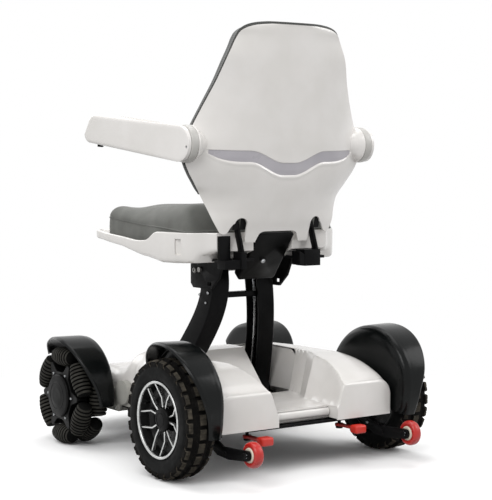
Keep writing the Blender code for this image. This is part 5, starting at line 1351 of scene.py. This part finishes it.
def boxUv(mesh):
    # Each face takes the two coordinates across its main direction, in metres.
    vertex = np.empty(len(mesh.loops), np.int32)
    mesh.loops.foreach_get("vertex_index", vertex)
    totals = np.empty(len(mesh.polygons), np.int32)
    mesh.polygons.foreach_get("loop_total", totals)
    points = readVectors(mesh.vertices, "co")[vertex]
    main = np.repeat(np.argmax(np.abs(readVectors(mesh.polygons, "normal")), axis=1), totals)
    u = np.where(main == 0, points[:, 1], points[:, 0])
    v = np.where(main == 2, points[:, 1], points[:, 2])
    mesh.uv_layers.new(name="weave").data.foreach_set("uv", np.stack((u, v), -1).ravel())


def blown(piece):
    # The piece's points after the cloth has swollen under pressure.
    cloth = piece.modifiers.new("cloth", "CLOTH")
    cloth.settings.use_pressure = True
    cloth.settings.uniform_pressure_force = padding["pressure"]
    cloth.settings.effector_weights.gravity = 0
    cloth.settings.quality = 5
    cloth.point_cache.frame_start = 1
    cloth.point_cache.frame_end = padding["frames"]
    scene = bpy.context.scene
    for number in range(1, padding["frames"] + 1):
        scene.frame_set(number)
    made = bpy.data.meshes.new_from_object(piece.evaluated_get(bpy.context.evaluated_depsgraph_get()))
    piece.modifiers.clear()
    scene.frame_set(1)
    return readVectors(made.vertices, "co")


def puffed(name, node, form, material, drawIn, cap, flatSide):
    # The form is drawn in along its normals and swollen by pressure; each point moves at most the cap,
    # and not at all where the pad rests on its shell.
    piece = addPiece(name, form, material, nodes[node]["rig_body"], (node,), 180.0)
    normals = readVectors(piece.data.vertices, "normal")
    held = smoothStep(0.25, 0.7, normals @ np.asarray(flatSide, float))[:, None]
    start = readVectors(piece.data.vertices, "co") - normals * drawIn * (1 - held)
    movePoints(piece.data, start)
    moved = blown(piece) - start
    moved -= moved[held[:, 0] > 0.9].mean(axis=0)
    length = np.linalg.norm(moved, axis=1, keepdims=True)
    moved *= np.minimum(1, cap / np.maximum(length, 1e-9)) * (1 - held)
    movePoints(piece.data, start + moved)
    fine = piece.modifiers.new("fine", "SUBSURF")
    fine.levels = fine.render_levels = 1
    # The limit surface takes minutes at the middle point, where more than 200 faces meet.
    fine.use_limit_surface = False
    applyAll(piece)
    shade(piece.data, 180.0, material)
    boxUv(piece.data)


def surfaceAlong(node, axis, start, across):
    # Where rays along one axis, from a plane beyond the node, meet its form. Misses take the mean.
    mesh = nodes[node].data
    faces = [f.vertices[:] for f in mesh.polygons]
    tree = BVHTree.FromPolygons(readVectors(mesh.vertices, "co").tolist(), faces)
    way = [0.0, 0.0, 0.0]
    way[axis] = -1.0
    found = np.full(len(across), np.nan)
    for k, pair in enumerate(across.tolist()):
        pair.insert(axis, start)
        spot = tree.ray_cast(pair, way)[0]
        if spot is not None:
            found[k] = spot[axis]
    return np.where(np.isnan(found), np.nanmean(found), found)


def seatPad():
    # Upright sides under a sewn cord, then a quarter ellipse in to the crown, which keeps half of the
    # node's hollows.
    spec = padding["seat"]
    points = readVectors(nodes["seat_cushion"].data.vertices, "co")
    low = points.min(axis=0)
    high = points.max(axis=0)
    middle = (low + high) / 2
    half = (high - low) / 2 - 0.001
    corners = np.array(((-1, -1), (1, -1), (1, 1), (-1, 1))) * half[:2]
    plan = roundedLine(corners, spec["corner"], 8)
    plan = np.vstack((plan, plan[:1]))
    run = runOf(plan)
    plan = np.stack(straight(np.column_stack((run, plan)), np.linspace(0, run[-1], 220, endpoint=False)), -1)
    length = np.linalg.norm(plan, axis=1, keepdims=True)
    turn = np.linspace(0, np.pi / 2, 10)
    inset = np.concatenate((spec["roll"] * (1 - np.cos(turn)),
                            np.linspace(spec["roll"], length.min(), 22)[1:-1]))[:, None, None]
    rise = np.concatenate((np.sin(turn), np.ones(20)))[:, None]
    reach = 1 + (length / length.min() - 1) * smoothStep(spec["roll"], length.min(), inset)
    top = plan * (1 - inset / length * reach)
    inner = half[:2] - spec["inside"]
    clamped = np.clip(top, -inner, inner).reshape(-1, 2) + middle[:2]
    crown = surfaceAlong("seat_cushion", 2, high[2] + 0.1, clamped).reshape(top.shape[:2])
    # A trough runs from each side to the middle of the front.
    slant = 0.823 * np.abs(top[..., 0]) + 0.569 * (top[..., 1] + middle[1])
    dip = spec["dip"] * np.exp(-((slant - spec["dipAt"]) / spec["dipWide"]) ** 2)
    crown = (crown + crown.mean()) / 2 + spec["lift"] - dip
    tray = np.maximum(straight(seat["stations"], plan[:, 1] + middle[1])[2], seat["tray"])
    under = tray + seat["floor"] + 0.0005
    seam = crown[0].mean() - np.interp(plan[:, 1] + middle[1], (-0.15, 0.2), spec["rise"])
    crown = seam + (crown - seam) * rise
    rows = [np.column_stack((plan * (1 - 0.012 / length), under))]
    for share, push in ((0.04, 0.004), (0.12, 0.0), (0.35, -0.0006), (0.6, -0.0008), (0.85, 0.0),
                        (0.945, 0.001), (0.965, 0.0002), (0.98, -0.0006), (0.992, 0.0004)):
        rows.append(np.column_stack((plan * (1 - push / length), under + (seam - under) * share)))
    crownRows = np.dstack((top, crown))
    crownRows[0, :, :2] = plan * (1 - 0.001 / length)
    grid = np.concatenate((np.stack(rows), crownRows))
    grid[..., :2] += middle[:2]
    return [(grid, False, True, True)]


def armPadForm(label, side):
    # The plan scaled in to its middle; the height rises by sine over the first sixth.
    points = readVectors(nodes["arm_pad_" + label].data.vertices, "co") - (0, arm["pivotY"], arm["pivotZ"])
    up = points[:, 2] * math.cos(arm["tilt"]) - points[:, 1] * math.sin(arm["tilt"])
    low, high = up.min() + 0.0004, up.max() - 0.0008
    turn = np.linspace(0, np.pi / 2, 9)
    share = np.concatenate((0.16 * (1 - np.cos(turn)), np.linspace(0.16, 1, 16)[1:]))
    rise = np.concatenate((np.sin(turn), np.ones(15)))
    rows = [padPlan(side, 0.0008, 120, low)]
    for s, r in zip(share, rise):
        line = padPlan(side, -0.0008, 120, low + (high - low) * (0.45 + 0.55 * r))
        middle = line.mean(axis=0)
        rows.append(middle + (line - middle) * (1 - s))
    return [(np.stack(rows), False, True, True)]


def backPadForm():
    # Lies on the shell's own sheet; its front keeps the node's depth inside, and rounds off by
    # depth x (1 - |across|^8)^1/2 x (1 - |up|^10)^1/2 towards the rim.
    spec = padding["back"]
    place = np.linspace(0.02, spec["lowest"], 84)[:, None]
    share = np.sin(np.linspace(-np.pi / 2, np.pi / 2, 81))[None, :]
    rear = backAt(place, share, back["wall"] + 0.0006)
    rear[..., 0] *= 1 + spec["grow"] / np.abs(rear[:, -1:, 0])
    rear[..., 2] += spec["over"] * smoothStep(0.9, 0.955, rear[..., 2])
    half = np.abs(rear[:, -1:, 0])
    inside = np.maximum(half - spec["inside"], 0.02)
    x = np.clip(rear[..., 0], -inside, inside)
    z = np.clip(rear[..., 2], rear[-1, 0, 2] + spec["inside"], rear[0, 0, 2] - spec["inside"])
    front = surfaceAlong("back_cushion", 1, 0.2, np.stack((x, z), -1).reshape(-1, 2)).reshape(x.shape)
    h, m, w = backRow(z)
    # The node's shell bends by the power 2.2.
    depth = front - (m + w * np.minimum(1, np.abs(x) / h) ** 2.2)
    up = np.linspace(-1, 1, len(place))[:, None]
    level = np.sqrt(1 - np.abs(up) ** 10)
    full = np.sqrt(1 - np.abs(share) ** 8) * level
    face = rear.copy()
    face[..., 1] += spec["edge"] * level + (depth - spec["edge"]) * full + 0.001
    return [(np.concatenate((rear, face[:, ::-1]), axis=1), False, True, True)]


puffed("seatCushion", "seat_cushion", seatPad(), seatCloth, 0.0012, 0.0035, (0, 0, -1))
puffed("backCushion", "back_cushion", backPadForm(), backMesh, 0.0012, 0.004, (0, -1, 0))
for label, side in sides:
    puffed("armPad_" + label, "arm_pad_" + label, armPadForm(label, side), padVinyl,
           0.0004, 0.0012, (0, 0, -1))
print("cushions made")
